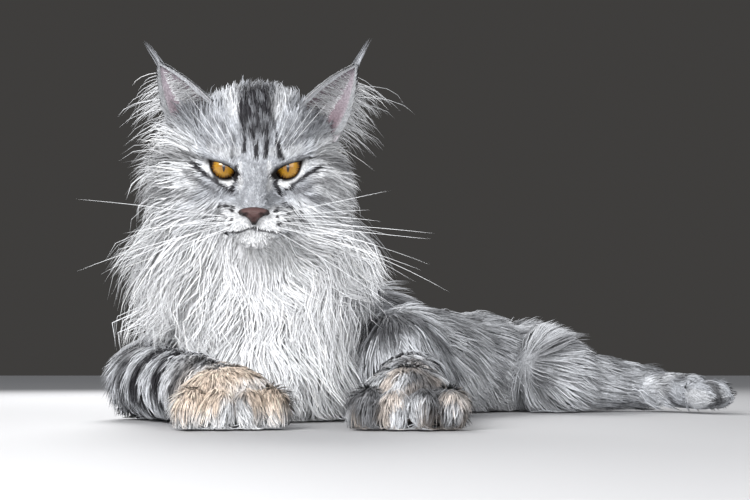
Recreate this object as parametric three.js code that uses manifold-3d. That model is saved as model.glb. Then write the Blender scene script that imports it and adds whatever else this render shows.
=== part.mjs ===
// A long-haired silver tabby cat at life size, lying on its chest with both forelegs stretched out in front,
// its head up and facing the viewer, its left hind leg out to the side and its tail laid round behind it.
// Millimetres, +Z up, the floor at Z = 0, the cat looking along -Y and its left side towards +X.
import * as THREE from 'three';
import { mergeVertices } from 'three/addons/utils/BufferGeometryUtils.js';
import Module from 'manifold-3d';

const wasm = await Module();
wasm.setup();

const V = (x, y, z) => new THREE.Vector3(x, y, z);
const degrees = Math.PI / 180;

// Driving sizes of the whole cat.
const gap = 0.3; // clearance between pieces that touch
const headPlace = V(-2, -60, 176.5); // midway between the eyes
const headPitch = 12 * degrees; // the nose points a little down
const headYaw = 3 * degrees; // and a little to the cat's left
const eyeSpacing = 44.8;
const eyeRadius = 11;
const eyeSetBack = 8;
const noseReach = 36; // nose tip ahead of the eyes
const noseDrop = 29; // nose tip below the eyes
const headHalfWidth = 45;
const lidOpening = {
  inner: V(11.5, 0, -6),
  top: V(20, 0, 4.5),
  outer: V(32, 0, 6),
  low: V(20, 0, -7.2),
};
const ear = {
  inner: V(24, 24, 37),
  outer: V(60, 34, 23),
  tip: V(71, 52, 72),
  innerBend: V(46, 37, 62),
  outerBend: V(72, 44, 42),
  cup: 19,
  thickBase: 3.4,
  thickTip: 1.6,
  rootShare: 0.22,
  endShare: 0.96,
};

const headFrame = new THREE.Matrix4()
  .makeTranslation(headPlace)
  .multiply(new THREE.Matrix4().makeRotationZ(headYaw))
  .multiply(new THREE.Matrix4().makeRotationX(headPitch));

// Fields. Each is a function of a point that is negative inside a form and about the distance to its surface.

function limb(a, b, radiusA, radiusB) {
  const along = b.clone().sub(a);
  const lengthSquared = along.lengthSq();
  return (p) => {
    const share = THREE.MathUtils.clamp(p.clone().sub(a).dot(along) / lengthSquared, 0, 1);
    const nearest = a.clone().addScaledVector(along, share);
    return p.distanceTo(nearest) - THREE.MathUtils.lerp(radiusA, radiusB, share);
  };
}

function egg(centre, radii, turn = 0) {
  const cos = Math.cos(turn);
  const sin = Math.sin(turn);
  return (p) => {
    const q = p.clone().sub(centre);
    q.set(q.x * cos + q.y * sin, q.y * cos - q.x * sin, q.z);
    const scaled = q.clone().divide(radii);
    const steep = scaled.clone().divide(radii).length();
    const reach = scaled.length();
    return steep < 1e-9 ? -Math.min(radii.x, radii.y, radii.z) : (reach * (reach - 1)) / steep;
  };
}

function blend(softness, ...fields) {
  return (p) =>
    fields.map((field) => field(p)).reduce((a, b) => {
      const near = Math.max(softness - Math.abs(a - b), 0) / softness;
      return Math.min(a, b) - (near * near * softness) / 4;
    });
}

const grow = (field, by) => (p) => field(p) - by;

function slope(field, p) {
  const step = 0.5;
  return V(
    field(V(p.x + step, p.y, p.z)) - field(V(p.x - step, p.y, p.z)),
    field(V(p.x, p.y + step, p.z)) - field(V(p.x, p.y - step, p.z)),
    field(V(p.x, p.y, p.z + step)) - field(V(p.x, p.y, p.z - step)),
  ).normalize();
}

// The point where a ray from inside a form leaves it.
function leave(field, from, direction) {
  const stride = 2.5;
  let inside = 0;
  while (field(from.clone().addScaledVector(direction, inside + stride)) < 0) inside += stride;
  let outside = inside + stride;
  for (let halving = 0; halving < 16; halving++) {
    const middle = (inside + outside) / 2;
    if (field(from.clone().addScaledVector(direction, middle)) < 0) inside = middle;
    else outside = middle;
  }
  return from.clone().addScaledVector(direction, inside);
}

// A point inside a form and a direction out of it, for a share of the way along its spine and an angle
// about it.
function spineRay(spine, up, share, angle, endShare) {
  const tangent = spine.getTangent(THREE.MathUtils.clamp(share, 0, 1));
  const side = V(0, 0, 0).crossVectors(tangent, up).normalize();
  const over = V(0, 0, 0).crossVectors(side, tangent);
  const lean = share < 0 ? share / endShare : share > 1 ? (share - 1) / endShare : 0;
  const ring = side.multiplyScalar(Math.cos(angle)).addScaledVector(over, Math.sin(angle));
  const tilt = (lean * Math.PI) / 2;
  return {
    from: spine.getPoint(THREE.MathUtils.clamp(share, 0, 1)),
    direction: ring.multiplyScalar(Math.cos(tilt)).addScaledVector(tangent, Math.sin(tilt)),
  };
}

// A closed surface round a form: a sphere's rows are spread along the spine and slid out to the surface.
function wrap({ field, spine, up = V(0, 0, 1), around, along, endShare = 0.3 }) {
  const curve = new THREE.CatmullRomCurve3(spine);
  const surface = new THREE.SphereGeometry(1, around, along);
  const place = surface.getAttribute('position');
  const uv = surface.getAttribute('uv');
  for (let i = 0; i < place.count; i++) {
    const row = Math.round((1 - uv.getY(i)) * along);
    const atPole = row === 0 || row === along;
    const column = atPole ? 0 : Math.round(uv.getX(i) * around) % around;
    const share = (row / along) * (1 + 2 * endShare) - endShare;
    const ray = spineRay(curve, up, share, (column * 2 * Math.PI) / around, endShare);
    const p = leave(field, ray.from, ray.direction);
    place.setXYZ(i, p.x, p.y, p.z);
  }
  return surface;
}

function solidOf(geometry) {
  const plain = new THREE.BufferGeometry().setIndex(geometry.index);
  plain.setAttribute('position', geometry.getAttribute('position'));
  const merged = mergeVertices(plain, 1e-3);
  const triVerts = new Uint32Array(merged.index.array);
  const vertProperties = merged.getAttribute('position').array;
  let made = new wasm.Manifold(new wasm.Mesh({ numProp: 3, vertProperties, triVerts }));
  if (made.volume() < 0) {
    for (let i = 0; i < triVerts.length; i += 3) triVerts.subarray(i, i + 2).reverse();
    made = new wasm.Manifold(new wasm.Mesh({ numProp: 3, vertProperties, triVerts }));
  }
  return made;
}

const largest = (solid) => solid.decompose().sort((a, b) => b.volume() - a.volume())[0];

// The head's forms, in its own frame: midway between the eyes, X to its left, Y back and Z up.
const both = (make) => [make(-1), make(1)];
const headForms = blend(
  9,
  egg(V(0, 34, 9), V(headHalfWidth, 46, 41)), // skull
  egg(V(0, 13, 17), V(33, 19, 24)), // forehead
  limb(V(0, 3, 1), V(0, 9 - noseReach, 6 - noseDrop), 13, 10.5), // bridge of the nose
  limb(V(0, -8, -35), V(0, 22, -24), 19, 30), // jaw
  ...both((side) => egg(V(side * 31, 24, -13), V(24, 30, 27))), // cheeks
);
const faceForms = blend(
  4,
  headForms,
  egg(V(0, 5 - noseReach, 2 - noseDrop), V(8.5, 6.5, 7)), // nose tip
  egg(V(0, -20, -45), V(13.5, 11.5, 8)), // chin
  ...both((side) => egg(V(side * 11.5, -23, -35), V(14, 14, 11))), // whisker pads
  ...both((side) => limb(V(side * 12, -3, 7), V(side * 33, 4, 12), 5, 6)), // brows
  ...both((side) => limb(V(side * 14, -4, -11), V(side * 32, 3, -8), 4.5, 5)), // lower lids
);

const toHead = headFrame.clone().invert();
const inHead = (field) => (p) => field(p.clone().applyMatrix4(toHead));
const fromHead = (x, y, z) => V(x, y, z).applyMatrix4(headFrame);

// Each core is a field with the spine it is wrapped round, and the counts of its faces.
const paw = ({ centre, turn }) => {
  const cos = Math.cos(turn);
  const sin = Math.sin(turn);
  const at = (x, y, z) => V(centre.x + x * cos - y * sin, centre.y + x * sin + y * cos, z);
  const toes = [-25, -9, 9, 25].map((across) =>
    egg(at(across, -30 + Math.abs(across) * 0.35, 15), V(11.5, 17, 13.5), turn));
  return {
    field: blend(
      5,
      egg(at(0, 3, 21), V(30, 33, 22), turn),
      limb(at(0, 10, 22), at(0, 30, 24), 22, 21),
      ...toes,
    ),
    spine: [at(0, 18, 18), at(0, -24, 14)],
    around: 20,
    along: 12,
    endShare: 0.45,
  };
};

const pawPlace = {
  left: { centre: V(102, -124, 0), turn: 0 },
  right: { centre: V(-14, -120, 0), turn: 12 * degrees },
};

const cores = {
  head: {
    field: inHead(faceForms),
    spine: [fromHead(0, -8, -22), fromHead(0, 18, -4), fromHead(0, 44, 8)],
    around: 32,
    along: 20,
    endShare: 0.45,
  },
  chest: {
    field: limb(V(6, 14, 46), V(72, 108, 46), 56, 56),
    spine: [V(6, 14, 44), V(72, 108, 44)],
    around: 20,
    along: 10,
  },
  neck: {
    field: blend(16, egg(V(-1, -8, 134), V(60, 46, 54)), limb(V(2, 6, 120), V(14, 38, 84), 52, 56)),
    spine: [V(-1, -6, 146), V(2, 0, 126), V(12, 34, 88)],
    up: V(0, 1, 0),
    around: 22,
    along: 12,
  },
  belly: {
    field: limb(V(84, 128, 44), V(160, 225, 38), 55, 50),
    spine: [V(84, 128, 40), V(160, 225, 36)],
    around: 20,
    along: 9,
  },
  rump: {
    field: limb(V(165, 235, 37), V(226, 312, 33), 49, 42),
    spine: [V(165, 235, 34), V(226, 312, 32)],
    around: 18,
    along: 8,
  },
  upper_arm_left: {
    field: blend(
      12,
      limb(V(74, 52, 66), V(110, 58, 34), 36, 30),
      egg(V(98, 14, 50), V(32, 44, 35)),
    ),
    spine: [V(78, 50, 60), V(104, 34, 42)],
    around: 14,
    along: 8,
  },
  forearm_left: {
    field: limb(V(110, 30, 33), V(103, -84, 25), 32, 22),
    spine: [V(110, 30, 30), V(103, -84, 24)],
    around: 14,
    along: 9,
  },
  forepaw_left: paw(pawPlace.left),
  upper_arm_right: {
    field: limb(V(-40, 44, 66), V(-82, 44, 34), 36, 31),
    spine: [V(-40, 44, 60), V(-82, 44, 34)],
    around: 14,
    along: 8,
  },
  forearm_right: {
    field: limb(V(-86, 34, 32), V(-32, -82, 25), 31, 22),
    spine: [V(-86, 34, 30), V(-32, -82, 24)],
    around: 14,
    along: 9,
  },
  forepaw_right: paw(pawPlace.right),
  thigh_left: {
    field: limb(V(222, 300, 40), V(231, 200, 34), 42, 33),
    spine: [V(222, 300, 36), V(231, 200, 32)],
    around: 14,
    along: 8,
  },
  shank_left: {
    field: limb(V(236, 196, 31), V(316, 236, 23), 29, 19),
    spine: [V(236, 196, 28), V(316, 236, 22)],
    around: 12,
    along: 7,
  },
  hind_foot_left: {
    field: blend(
      5,
      limb(V(318, 234, 21), V(354, 188, 19), 18, 17),
      ...[-15, -5, 6, 16].map((across, i) =>
        egg(V(363 + across * 0.7, 176 + across * 0.75 - (i % 2) * 2, 17), V(9, 15, 14), 40 * degrees)),
    ),
    spine: [V(322, 229, 19), V(356, 185, 16)],
    around: 16,
    along: 11,
  },
  thigh_right: {
    field: limb(V(204, 308, 42), V(130, 262, 36), 40, 33),
    spine: [V(204, 308, 38), V(130, 262, 34)],
    around: 14,
    along: 8,
  },
  hind_foot_right: {
    field: blend(
      6,
      limb(V(176, 342, 18), V(124, 290, 16), 18, 16),
      ...[-12, 0, 12].map((across) =>
        egg(V(112 + across * 0.6, 276 - across * 0.6, 13), V(9, 16, 12), -46 * degrees)),
    ),
    spine: [V(172, 338, 16), V(124, 290, 14)],
    around: 14,
    along: 10,
  },
};

// The tail lies on the floor round the far side of the body, in three lengths.
const tailRoute = new THREE.CatmullRomCurve3([
  V(244, 336, 34),
  V(268, 384, 30),
  V(240, 424, 32),
  V(176, 436, 33),
  V(106, 420, 33),
  V(50, 384, 31),
  V(16, 340, 26),
]);
const tailRadius = (share) => 20 + 9 * Math.sin(Math.PI * Math.min(1, share * 0.9 + 0.1));
const tailCuts = { tail_root: [0, 0.3], tail_middle: [0.3, 0.66], tail_tip: [0.66, 1] };
for (const [name, [from, to]] of Object.entries(tailCuts)) {
  const steps = 5;
  const spots = Array.from({ length: steps + 1 }, (_, i) => from + ((to - from) * i) / steps);
  const links = spots.slice(1).map((share, i) =>
    limb(
      tailRoute.getPointAt(spots[i]),
      tailRoute.getPointAt(share),
      tailRadius(spots[i]),
      tailRadius(share),
    ));
  cores[name] = {
    field: blend(6, ...links),
    spine: spots.map((share) => tailRoute.getPointAt(share)),
    around: 12,
    along: 8,
    endShare: 0.25,
  };
}

// The nose leather, with a nostril on each side.
const nose = {
  field: inHead(blend(
    2,
    egg(V(0, -noseReach - 0.8, 2 - noseDrop), V(10.4, 3.8, 4.4)),
    egg(V(0, -noseReach - 0.4, -2 - noseDrop), V(4, 3.4, 4.4)),
  )),
  spine: [fromHead(-4, -noseReach - 0.8, 1 - noseDrop), fromHead(4, -noseReach - 0.8, 1 - noseDrop)],
  around: 12,
  along: 8,
  endShare: 0.4,
};
const nostril = (side) => solidOf(new THREE.SphereGeometry(1, 6, 4)
  .scale(1.9, 2.2, 1.2)
  .rotateY(side * 0.5)
  .translate(side * 5.8, -noseReach - 3.6, 0.2 - noseDrop)
  .applyMatrix4(headFrame));

// The slot between the lids, cut straight back into the eye's hollow.
function lidSlot(side) {
  const { inner, top, outer, low } = lidOpening;
  const outline = new THREE.Shape();
  outline.moveTo(inner.x, inner.z);
  outline.quadraticCurveTo(top.x, top.z, outer.x, outer.z);
  outline.quadraticCurveTo(outer.x - 1, low.z + 0.7, low.x, low.z);
  outline.quadraticCurveTo(inner.x + 2.5, low.z, inner.x, inner.z);
  const slot = new THREE.ExtrudeGeometry(outline, { depth: 30, bevelEnabled: false, curveSegments: 4 });
  slot.rotateX(Math.PI / 2).translate(0, eyeSetBack - 1, 0).scale(side, 1, 1).applyMatrix4(headFrame);
  return solidOf(slot);
}

// The line of the mouth and the groove below the nose: thin rods half sunk in the face.
function mouthGroove() {
  const heart = V(0, -6, -32);
  const onFace = (x, y, z) => {
    const aim = V(x, y, z).sub(heart).normalize();
    return leave(faceForms, heart, aim);
  };
  const halves = both((side) => [
    onFace(0, -36, -36.5),
    onFace(side * 7, -34, -39.5),
    onFace(side * 14, -28, -42),
    onFace(side * 21, -14, -43),
  ]);
  const rods = [...halves, [onFace(0, -38, -32), onFace(0, -36, -36.5)]].flatMap((spots) =>
    spots.slice(1).map((end, i) => {
      const field = limb(spots[i], end, 0.9, 0.9);
      return solidOf(wrap({ field, spine: [spots[i], end], around: 4, along: 3 }).applyMatrix4(headFrame));
    }));
  return wasm.Manifold.union(rods);
}

// A thin vane, split into triangles alike on both faces: a grid for each face and a strip round the rim.
function vane(pointAt, thickAt, across, along) {
  const grid = new THREE.PlaneGeometry(2, 1, across, along);
  const place = grid.getAttribute('position');
  const count = place.count;
  const spots = [];
  for (const face of [0.5, -0.5]) {
    for (let i = 0; i < count; i++) {
      const u = place.getX(i);
      const v = place.getY(i) + 0.5;
      const acrossWay = pointAt(u + 0.01, v).sub(pointAt(u - 0.01, v));
      const alongWay = pointAt(u, v + 0.01).sub(pointAt(u, v - 0.01));
      const normal = acrossWay.cross(alongWay).normalize();
      spots.push(...pointAt(u, v).addScaledVector(normal, face * thickAt(v)).toArray());
    }
  }
  const index = [];
  for (let i = 0; i < grid.index.count; i += 3) {
    const [a, b, c] = grid.index.array.slice(i, i + 3);
    index.push(a, b, c, count + a, count + c, count + b);
  }
  const corner = (row, column) => row * (across + 1) + column;
  const rim = [];
  for (let i = 0; i < across; i++) rim.push(corner(0, i));
  for (let i = 0; i < along; i++) rim.push(corner(i, across));
  for (let i = across; i > 0; i--) rim.push(corner(along, i));
  for (let i = along; i > 0; i--) rim.push(corner(i, 0));
  rim.forEach((a, i) => {
    const b = rim[(i + 1) % rim.length];
    index.push(a, b, count + b, a, count + b, count + a);
  });
  const geometry = new THREE.BufferGeometry().setIndex(index);
  return geometry.setAttribute('position', new THREE.Float32BufferAttribute(spots, 3));
}

// Each ear is a cupped vane between an inner and an outer edge that meet at the tip. Its root runs on into
// the head.
function earShell(side, extra) {
  const { inner, outer, tip, innerBend, outerBend, cup, thickBase, thickTip } = ear;
  const back = V(0, 0, 0).crossVectors(tip.clone().sub(inner), outer.clone().sub(inner)).normalize();
  const innerEdge = new THREE.QuadraticBezierCurve3(inner, innerBend, tip);
  const outerEdge = new THREE.QuadraticBezierCurve3(outer, outerBend, tip);
  const pointAt = (u, v) => {
    const up = THREE.MathUtils.lerp(-ear.rootShare, ear.endShare, v);
    const spread = (u * (1 + extra / 20) + 1) / 2;
    const p = innerEdge.getPoint(up).lerp(outerEdge.getPoint(up), spread);
    const depth = cup * (1 - (2 * spread - 1) ** 2) * Math.max(0, 1 - up) ** 0.8;
    return p.addScaledVector(back, depth);
  };
  const thickAt = (v) => THREE.MathUtils.lerp(thickBase, thickTip, v) + 2 * extra;
  return solidOf(vane(pointAt, thickAt, 6, 6).scale(side, 1, 1).applyMatrix4(headFrame));
}

// A seeded draw, so that the coat is the same each time.
let seed = 7;
function draw(low, high) {
  seed = (seed * 1103515245 + 12345) % 2147483648;
  return low + ((high - low) * seed) / 2147483648;
}

// One flat lock of hair: a three-sided cone laid along a bend that leaves the surface at its root.
const lockShape = (share) => (0.7 + 1.1 * share) * (1 - share ** 2.2);

function lock({ root, out, lie, length, width, thick, sink = 6, lift = 0.16 }, extra) {
  const cone = new THREE.ConeGeometry(1, 1, 3, 3);
  const place = cone.getAttribute('position');
  const side = V(0, 0, 0).crossVectors(lie, out).normalize();
  const middle = root.clone().addScaledVector(out, length * lift).addScaledVector(lie, length * 0.45);
  const tip = root.clone().addScaledVector(lie, length).addScaledVector(out, length * lift * 0.9);
  const bend = new THREE.QuadraticBezierCurve3(root.clone().addScaledVector(out, -sink), middle, tip);
  for (let i = 0; i < place.count; i++) {
    const share = THREE.MathUtils.clamp(place.getY(i) + 0.5, 0, 1);
    const ring = Math.max(1 - share, 1e-6);
    const over = V(0, 0, 0).crossVectors(side, bend.getTangent(share)).normalize();
    const swell = lockShape(share);
    const last = bend.getPoint(1).sub(bend.getPoint(2 / 3)).normalize();
    const p = bend.getPoint(share)
      .addScaledVector(last, share < 1 ? 0 : extra * 8)
      .addScaledVector(side, (place.getX(i) / ring) * ((width / 2) * swell + 5 * extra))
      .addScaledVector(over, (place.getZ(i) / ring) * ((thick / 2) * swell + 2 * extra));
    place.setXYZ(i, p.x, p.y, p.z);
  }
  return solidOf(cone);
}

// Rows of locks over a core. Shares run along its spine and angles, in degrees, about it. Alternate rows are
// staggered.
function coat(core, { shares, angles, across, length, width, thick, lie, ...rest }) {
  const curve = new THREE.CatmullRomCurve3(core.spine);
  const list = [];
  shares.forEach((share, row) => {
    for (let i = 0; i < across; i++) {
      const step = (i + 0.25 + (row % 2) * 0.5) / across;
      const angle = (angles[0] + (angles[1] - angles[0]) * step + draw(-4, 4)) * degrees;
      const ray = spineRay(curve, core.up ?? V(0, 0, 1), share + draw(-0.02, 0.02), angle, core.endShare ?? 0.3);
      const root = leave(core.field, ray.from, ray.direction);
      const out = slope(core.field, root);
      const along = lie(root, out, curve.getTangent(THREE.MathUtils.clamp(share, 0, 1)));
      along.addScaledVector(out, -along.dot(out)).normalize();
      list.push({
        root,
        out,
        lie: along,
        length: length * draw(0.85, 1.15),
        width: width * draw(0.85, 1.15),
        thick,
        ...rest,
      });
    }
  });
  return list;
}

const headHeart = fromHead(0, 26, -12);
function headLock(side, aim, lie, length, width) {
  const towards = fromHead(side * aim.x, aim.y, aim.z).sub(headHeart).normalize();
  const root = leave(cores.head.field, headHeart, towards);
  const way = V(side * lie.x, lie.y, lie.z).transformDirection(headFrame);
  return {
    root,
    out: slope(cores.head.field, root),
    lie: way,
    length: length * draw(0.9, 1.1),
    width,
    thick: 5,
    lift: 0.22,
  };
}
function earTipLock(side) {
  const root = fromHead(side * (ear.tip.x - 2), ear.tip.y - 1.5, ear.tip.z - 4);
  const lie = V(side * 0.5, 0.15, 0.85).transformDirection(headFrame);
  return {
    root,
    out: V(0, 1, 0).transformDirection(headFrame),
    lie,
    length: 30,
    width: 5,
    thick: 3.5,
    lift: 0.05,
    sink: 0,
  };
}

const locks = {
  neck: coat(cores.neck, {
    shares: [-0.08, 0.24, 0.58, 0.94],
    angles: [130, 410],
    across: 12,
    length: 62,
    width: 28,
    thick: 6,
    lift: 0.3,
    lie: (root, out) => V(out.x * 1.2, out.y * 0.3, -0.7),
  }),
  head: [-1, 1].flatMap((side) => [
    ...[0, 1, 2, 3].map((i) => headLock(side, V(60, 46, 16 - i * 17), V(0.75, 0.2, -0.5 - i * 0.12), 46, 25)),
    ...[0, 1, 2].map((i) => headLock(side, V(60, 26, 2 - i * 20), V(0.7, 0.3, -0.65 - i * 0.15), 34, 24)),
    ...[0, 1, 2, 3].map((i) =>
      headLock(side, V(28 + i * 9, 12 + i * 3, 34 - i * 6), V(0.85, 0.1, 0.55 - i * 0.22), 46, 12)),
  ]),
  chest: [
    ...coat(cores.chest, {
      shares: [-0.22, -0.1], angles: [10, 170], across: 5, length: 56, width: 28, thick: 6, lift: 0.16,
      lie: (root, out) => V(out.x * 0.4, out.y * 0.4, -1),
    }),
    ...coat(cores.chest, {
      shares: [0.45, 0.9], angles: [-5, 185], across: 4, length: 54, width: 40, thick: 6, lift: 0.18,
      lie: (root, out, tangent) => tangent.add(V(0, 0, -0.35)),
    }),
  ],
  belly: coat(cores.belly, {
    shares: [0.1, 0.5, 0.9], angles: [-8, 188], across: 4, length: 54, width: 42, thick: 6, lift: 0.18,
    lie: (root, out, tangent) => tangent.add(V(0, 0, -0.4)),
  }),
  rump: coat(cores.rump, {
    shares: [0.2, 0.75], angles: [0, 180], across: 4, length: 48, width: 36, thick: 6, lift: 0.16,
    lie: (root, out, tangent) => tangent.add(V(0, 0, -0.3)),
  }),
  forearm_left: coat(cores.forearm_left, {
    shares: [0.02], angles: [-30, 60], across: 3, length: 40, width: 20, thick: 5, lift: 0.2,
    lie: (root, out, tangent) => tangent.negate().add(V(0.5, 0, -0.3)),
  }),
  forearm_right: coat(cores.forearm_right, {
    shares: [0.02], angles: [120, 210], across: 3, length: 40, width: 20, thick: 5, lift: 0.2,
    lie: (root, out, tangent) => tangent.negate().add(V(-0.5, 0, -0.3)),
  }),
  thigh_left: coat(cores.thigh_left, {
    shares: [0.25, 0.8], angles: [60, 170], across: 3, length: 40, width: 24, thick: 5, lift: 0.15,
    lie: (root, out, tangent) => tangent.negate().add(V(0.4, 0, -0.4)),
  }),
  shank_left: coat(cores.shank_left, {
    shares: [0.15, 0.6], angles: [60, 190], across: 3, length: 34, width: 20, thick: 5, lift: 0.15,
    lie: (root, out, tangent) => tangent.add(V(0, 0.7, -0.3)),
  }),
  thigh_right: coat(cores.thigh_right, {
    shares: [0.3, 0.85], angles: [0, 110], across: 3, length: 40, width: 24, thick: 5, lift: 0.15,
    lie: (root, out, tangent) => tangent.negate().add(V(0, 0, -0.4)),
  }),
};
for (const name of Object.keys(tailCuts)) {
  locks[name] = coat(cores[name], {
    shares: [0.15, 0.5, 0.9], angles: [-35, 215], across: 3, length: 50, width: 30, thick: 6, lift: 0.2,
    lie: (root, out, tangent) => tangent,
  });
}
for (const side of ['left', 'right']) {
  const { centre, turn } = pawPlace[side];
  locks[`forepaw_${side}`] = [-17, 0, 17].map((across) => {
    const root = V(across, -40 + Math.abs(across) * 0.35, 14).applyAxisAngle(V(0, 0, 1), turn).add(centre);
    const lie = V(across * 0.015, -1, -0.35).applyAxisAngle(V(0, 0, 1), turn).normalize();
    return { root, out: V(0, 0, 1), lie, length: 20, width: 9, thick: 4, lift: 0.1, sink: 0 };
  });
}

// Assembly. The floor and the cores of other nodes are cut away, and of the locks what stays rooted is kept.
const joined = (solids) => wasm.Manifold.union(solids);
const below = solidOf(new THREE.BoxGeometry(2000, 2000, 400).translate(0, 0, -200));
const coreSolid = {};
const grownCore = {};
for (const side of [-1, 1]) {
  const name = side > 0 ? 'left' : 'right';
  const place = fromHead(side * (eyeSpacing / 2), eyeSetBack, 1);
  const ball = (radius) => solidOf(new THREE.SphereGeometry(radius, 14, 8)
    .rotateX(Math.PI / 2)
    .translate(place.x, place.y, place.z));
  coreSolid[`eye_${name}`] = ball(eyeRadius);
  grownCore[`eye_${name}`] = ball(eyeRadius + gap).add(lidSlot(side));
}
coreSolid.nose = solidOf(wrap(nose)).subtract(joined(both(nostril)));
grownCore.nose = solidOf(wrap({ ...nose, field: grow(nose.field, gap) }));
for (const name of Object.keys(cores)) {
  coreSolid[name] = solidOf(wrap(cores[name]));
  grownCore[name] = solidOf(wrap({ ...cores[name], field: grow(cores[name].field, gap) }));
}
coreSolid.head = coreSolid.head.subtract(mouthGroove());
for (const side of [-1, 1]) {
  const name = side > 0 ? 'ear_left' : 'ear_right';
  coreSolid[name] = earShell(side, 0);
  grownCore[name] = earShell(side, gap);
  locks[name] = [earTipLock(side)];
}
const names = Object.keys(coreSolid);

const nodes = {};
names.forEach((name, rank) => {
  const earlier = names.slice(0, rank).map((other) => grownCore[other]).concat(below);
  nodes[name] = coreSolid[name].subtract(joined(earlier));
});

const grownLocks = [];
for (const name of names.filter((each) => locks[each])) {
  const others = names.filter((other) => other !== name).map((other) => grownCore[other]);
  const cut = joined([...others, ...grownLocks, below]);
  const hair = joined(locks[name].map((one) => lock(one, 0))).subtract(cut);
  grownLocks.push(joined(locks[name].map((one) => lock(one, gap))));
  nodes[name] = nodes[name].add(hair);
}

// Finishes.
const finishes = {
  coat: { color: 0xa9acae, roughness: 0.85 },
  pale: { color: 0xe6e8ea, roughness: 0.85 },
  iris: { color: 0xc8821a, roughness: 0.12 },
  leather: { color: 0x6e4b48, roughness: 0.5 },
};
const finishOf = (name) => {
  if (name.startsWith('eye')) return finishes.iris;
  if (name === 'nose') return finishes.leather;
  return ['neck', 'chest'].includes(name) ? finishes.pale : finishes.coat;
};

function meshOf(name, solid) {
  const { vertProperties, triVerts } = largest(solid).getMesh();
  const geometry = new THREE.BufferGeometry();
  geometry.setAttribute('position', new THREE.BufferAttribute(vertProperties, 3));
  geometry.setIndex(new THREE.BufferAttribute(triVerts, 1));
  const mesh = new THREE.Mesh(geometry, new THREE.MeshStandardMaterial({ ...finishOf(name), metalness: 0 }));
  mesh.name = name;
  return mesh;
}

const cat = new THREE.Group();
for (const name of names) cat.add(meshOf(name, nodes[name]));

export default cat;
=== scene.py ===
# A long-haired silver tabby cat, dressed in skin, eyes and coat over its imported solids.
import math

import bpy
import bmesh
import numpy as np
from mathutils import Matrix, Vector
from mathutils.kdtree import KDTree


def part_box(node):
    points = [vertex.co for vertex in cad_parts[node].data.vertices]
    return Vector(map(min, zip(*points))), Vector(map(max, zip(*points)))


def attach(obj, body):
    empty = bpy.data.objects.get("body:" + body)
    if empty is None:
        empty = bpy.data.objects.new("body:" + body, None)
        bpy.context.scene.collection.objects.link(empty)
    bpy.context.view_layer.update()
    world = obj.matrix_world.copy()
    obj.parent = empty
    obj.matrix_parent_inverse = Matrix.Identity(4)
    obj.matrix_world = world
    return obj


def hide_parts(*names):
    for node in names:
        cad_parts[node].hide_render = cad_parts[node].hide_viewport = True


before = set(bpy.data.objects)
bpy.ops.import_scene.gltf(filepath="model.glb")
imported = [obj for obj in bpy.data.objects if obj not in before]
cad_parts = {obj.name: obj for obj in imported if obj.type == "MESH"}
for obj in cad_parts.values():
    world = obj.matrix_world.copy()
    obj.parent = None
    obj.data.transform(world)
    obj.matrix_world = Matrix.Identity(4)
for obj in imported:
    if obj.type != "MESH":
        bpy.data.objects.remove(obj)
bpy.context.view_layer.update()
print("frame loaded", len(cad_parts), "nodes")

mm = 0.001
up = np.array([0.0, 0.0, 1.0])

# Colours are linear. The coat runs from white through silver to the dark of the tabby bars.
shades = {
    "white": (0.80, 0.81, 0.83),
    "silver": (0.54, 0.56, 0.60),
    "dark": (0.026, 0.025, 0.029),
    "cream": (0.86, 0.66, 0.49),
    "rim": (0.012, 0.010, 0.010),
    "earSkin": (0.29, 0.255, 0.285),
    "nose": (0.090, 0.043, 0.040),
}


def unit(rows):
    return rows / np.maximum(np.linalg.norm(rows, axis=-1, keepdims=True), 1e-9)


def smooth(low, high, value):
    share = np.clip((value - low) / (high - low), 0, 1)
    return share * share * (3 - 2 * share)


def mix(a, b, share):
    return a + (b - a) * share


def colour(name, count):
    return np.tile(np.array(shades[name]), (count, 1))


def ripple(points, size, seed=0):
    # Soft noise from -1 to 1 made of a few crossing waves.
    draw = np.random.default_rng(seed)
    total = np.zeros(len(points))
    for _ in range(7):
        way = unit(draw.normal(size=(1, 3)))[0]
        total += np.sin(points @ way * (2 * math.pi / (size * draw.uniform(0.6, 1.6))) + draw.uniform(0, 6.3))
    return total / 4.2


# The head's own frame is midway between the eyes, X to the cat's left, Y back and Z up.
headTilt = {"pitch": math.radians(12), "yaw": math.radians(3), "eyeBack": 8.0, "eyeUp": 1.0}


def nodeCentre(name):
    low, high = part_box(name)
    return (np.array(low) + np.array(high)) / 2 / mm


eyeCentre = {1: nodeCentre("eye_left"), -1: nodeCentre("eye_right")}
headTurn = np.array(Matrix.Rotation(headTilt["yaw"], 3, "Z") @ Matrix.Rotation(headTilt["pitch"], 3, "X"))
eyesInHead = np.array([0, headTilt["eyeBack"], headTilt["eyeUp"]])
headPlace = (eyeCentre[1] + eyeCentre[-1]) / 2 - headTurn @ eyesInHead


def toHead(points):
    return (points - headPlace) @ headTurn


def fromHead(points):
    return np.asarray(points, float) @ headTurn.T + headPlace


# Forms of the body, in millimetres. Each is an egg (at, radii) or a limb (at, to, r0, r1), thinner than its
# solid by the depth of the coat. hair is the coat's length there and lie its direction.
def egg(at, radii, soft, **facts):
    return {"at": np.array(at, float), "radii": np.array(radii, float), "soft": soft, "turn": 0.0, **facts}


def limb(at, to, r0, r1, soft, **facts):
    return {"at": np.array(at, float), "to": np.array(to, float), "r0": r0, "r1": r1, "soft": soft, **facts}


noseTip = {"reach": 36.0, "drop": 29.0}
face = {"inHead": True, "hair": 8, "zone": "face"}


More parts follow.
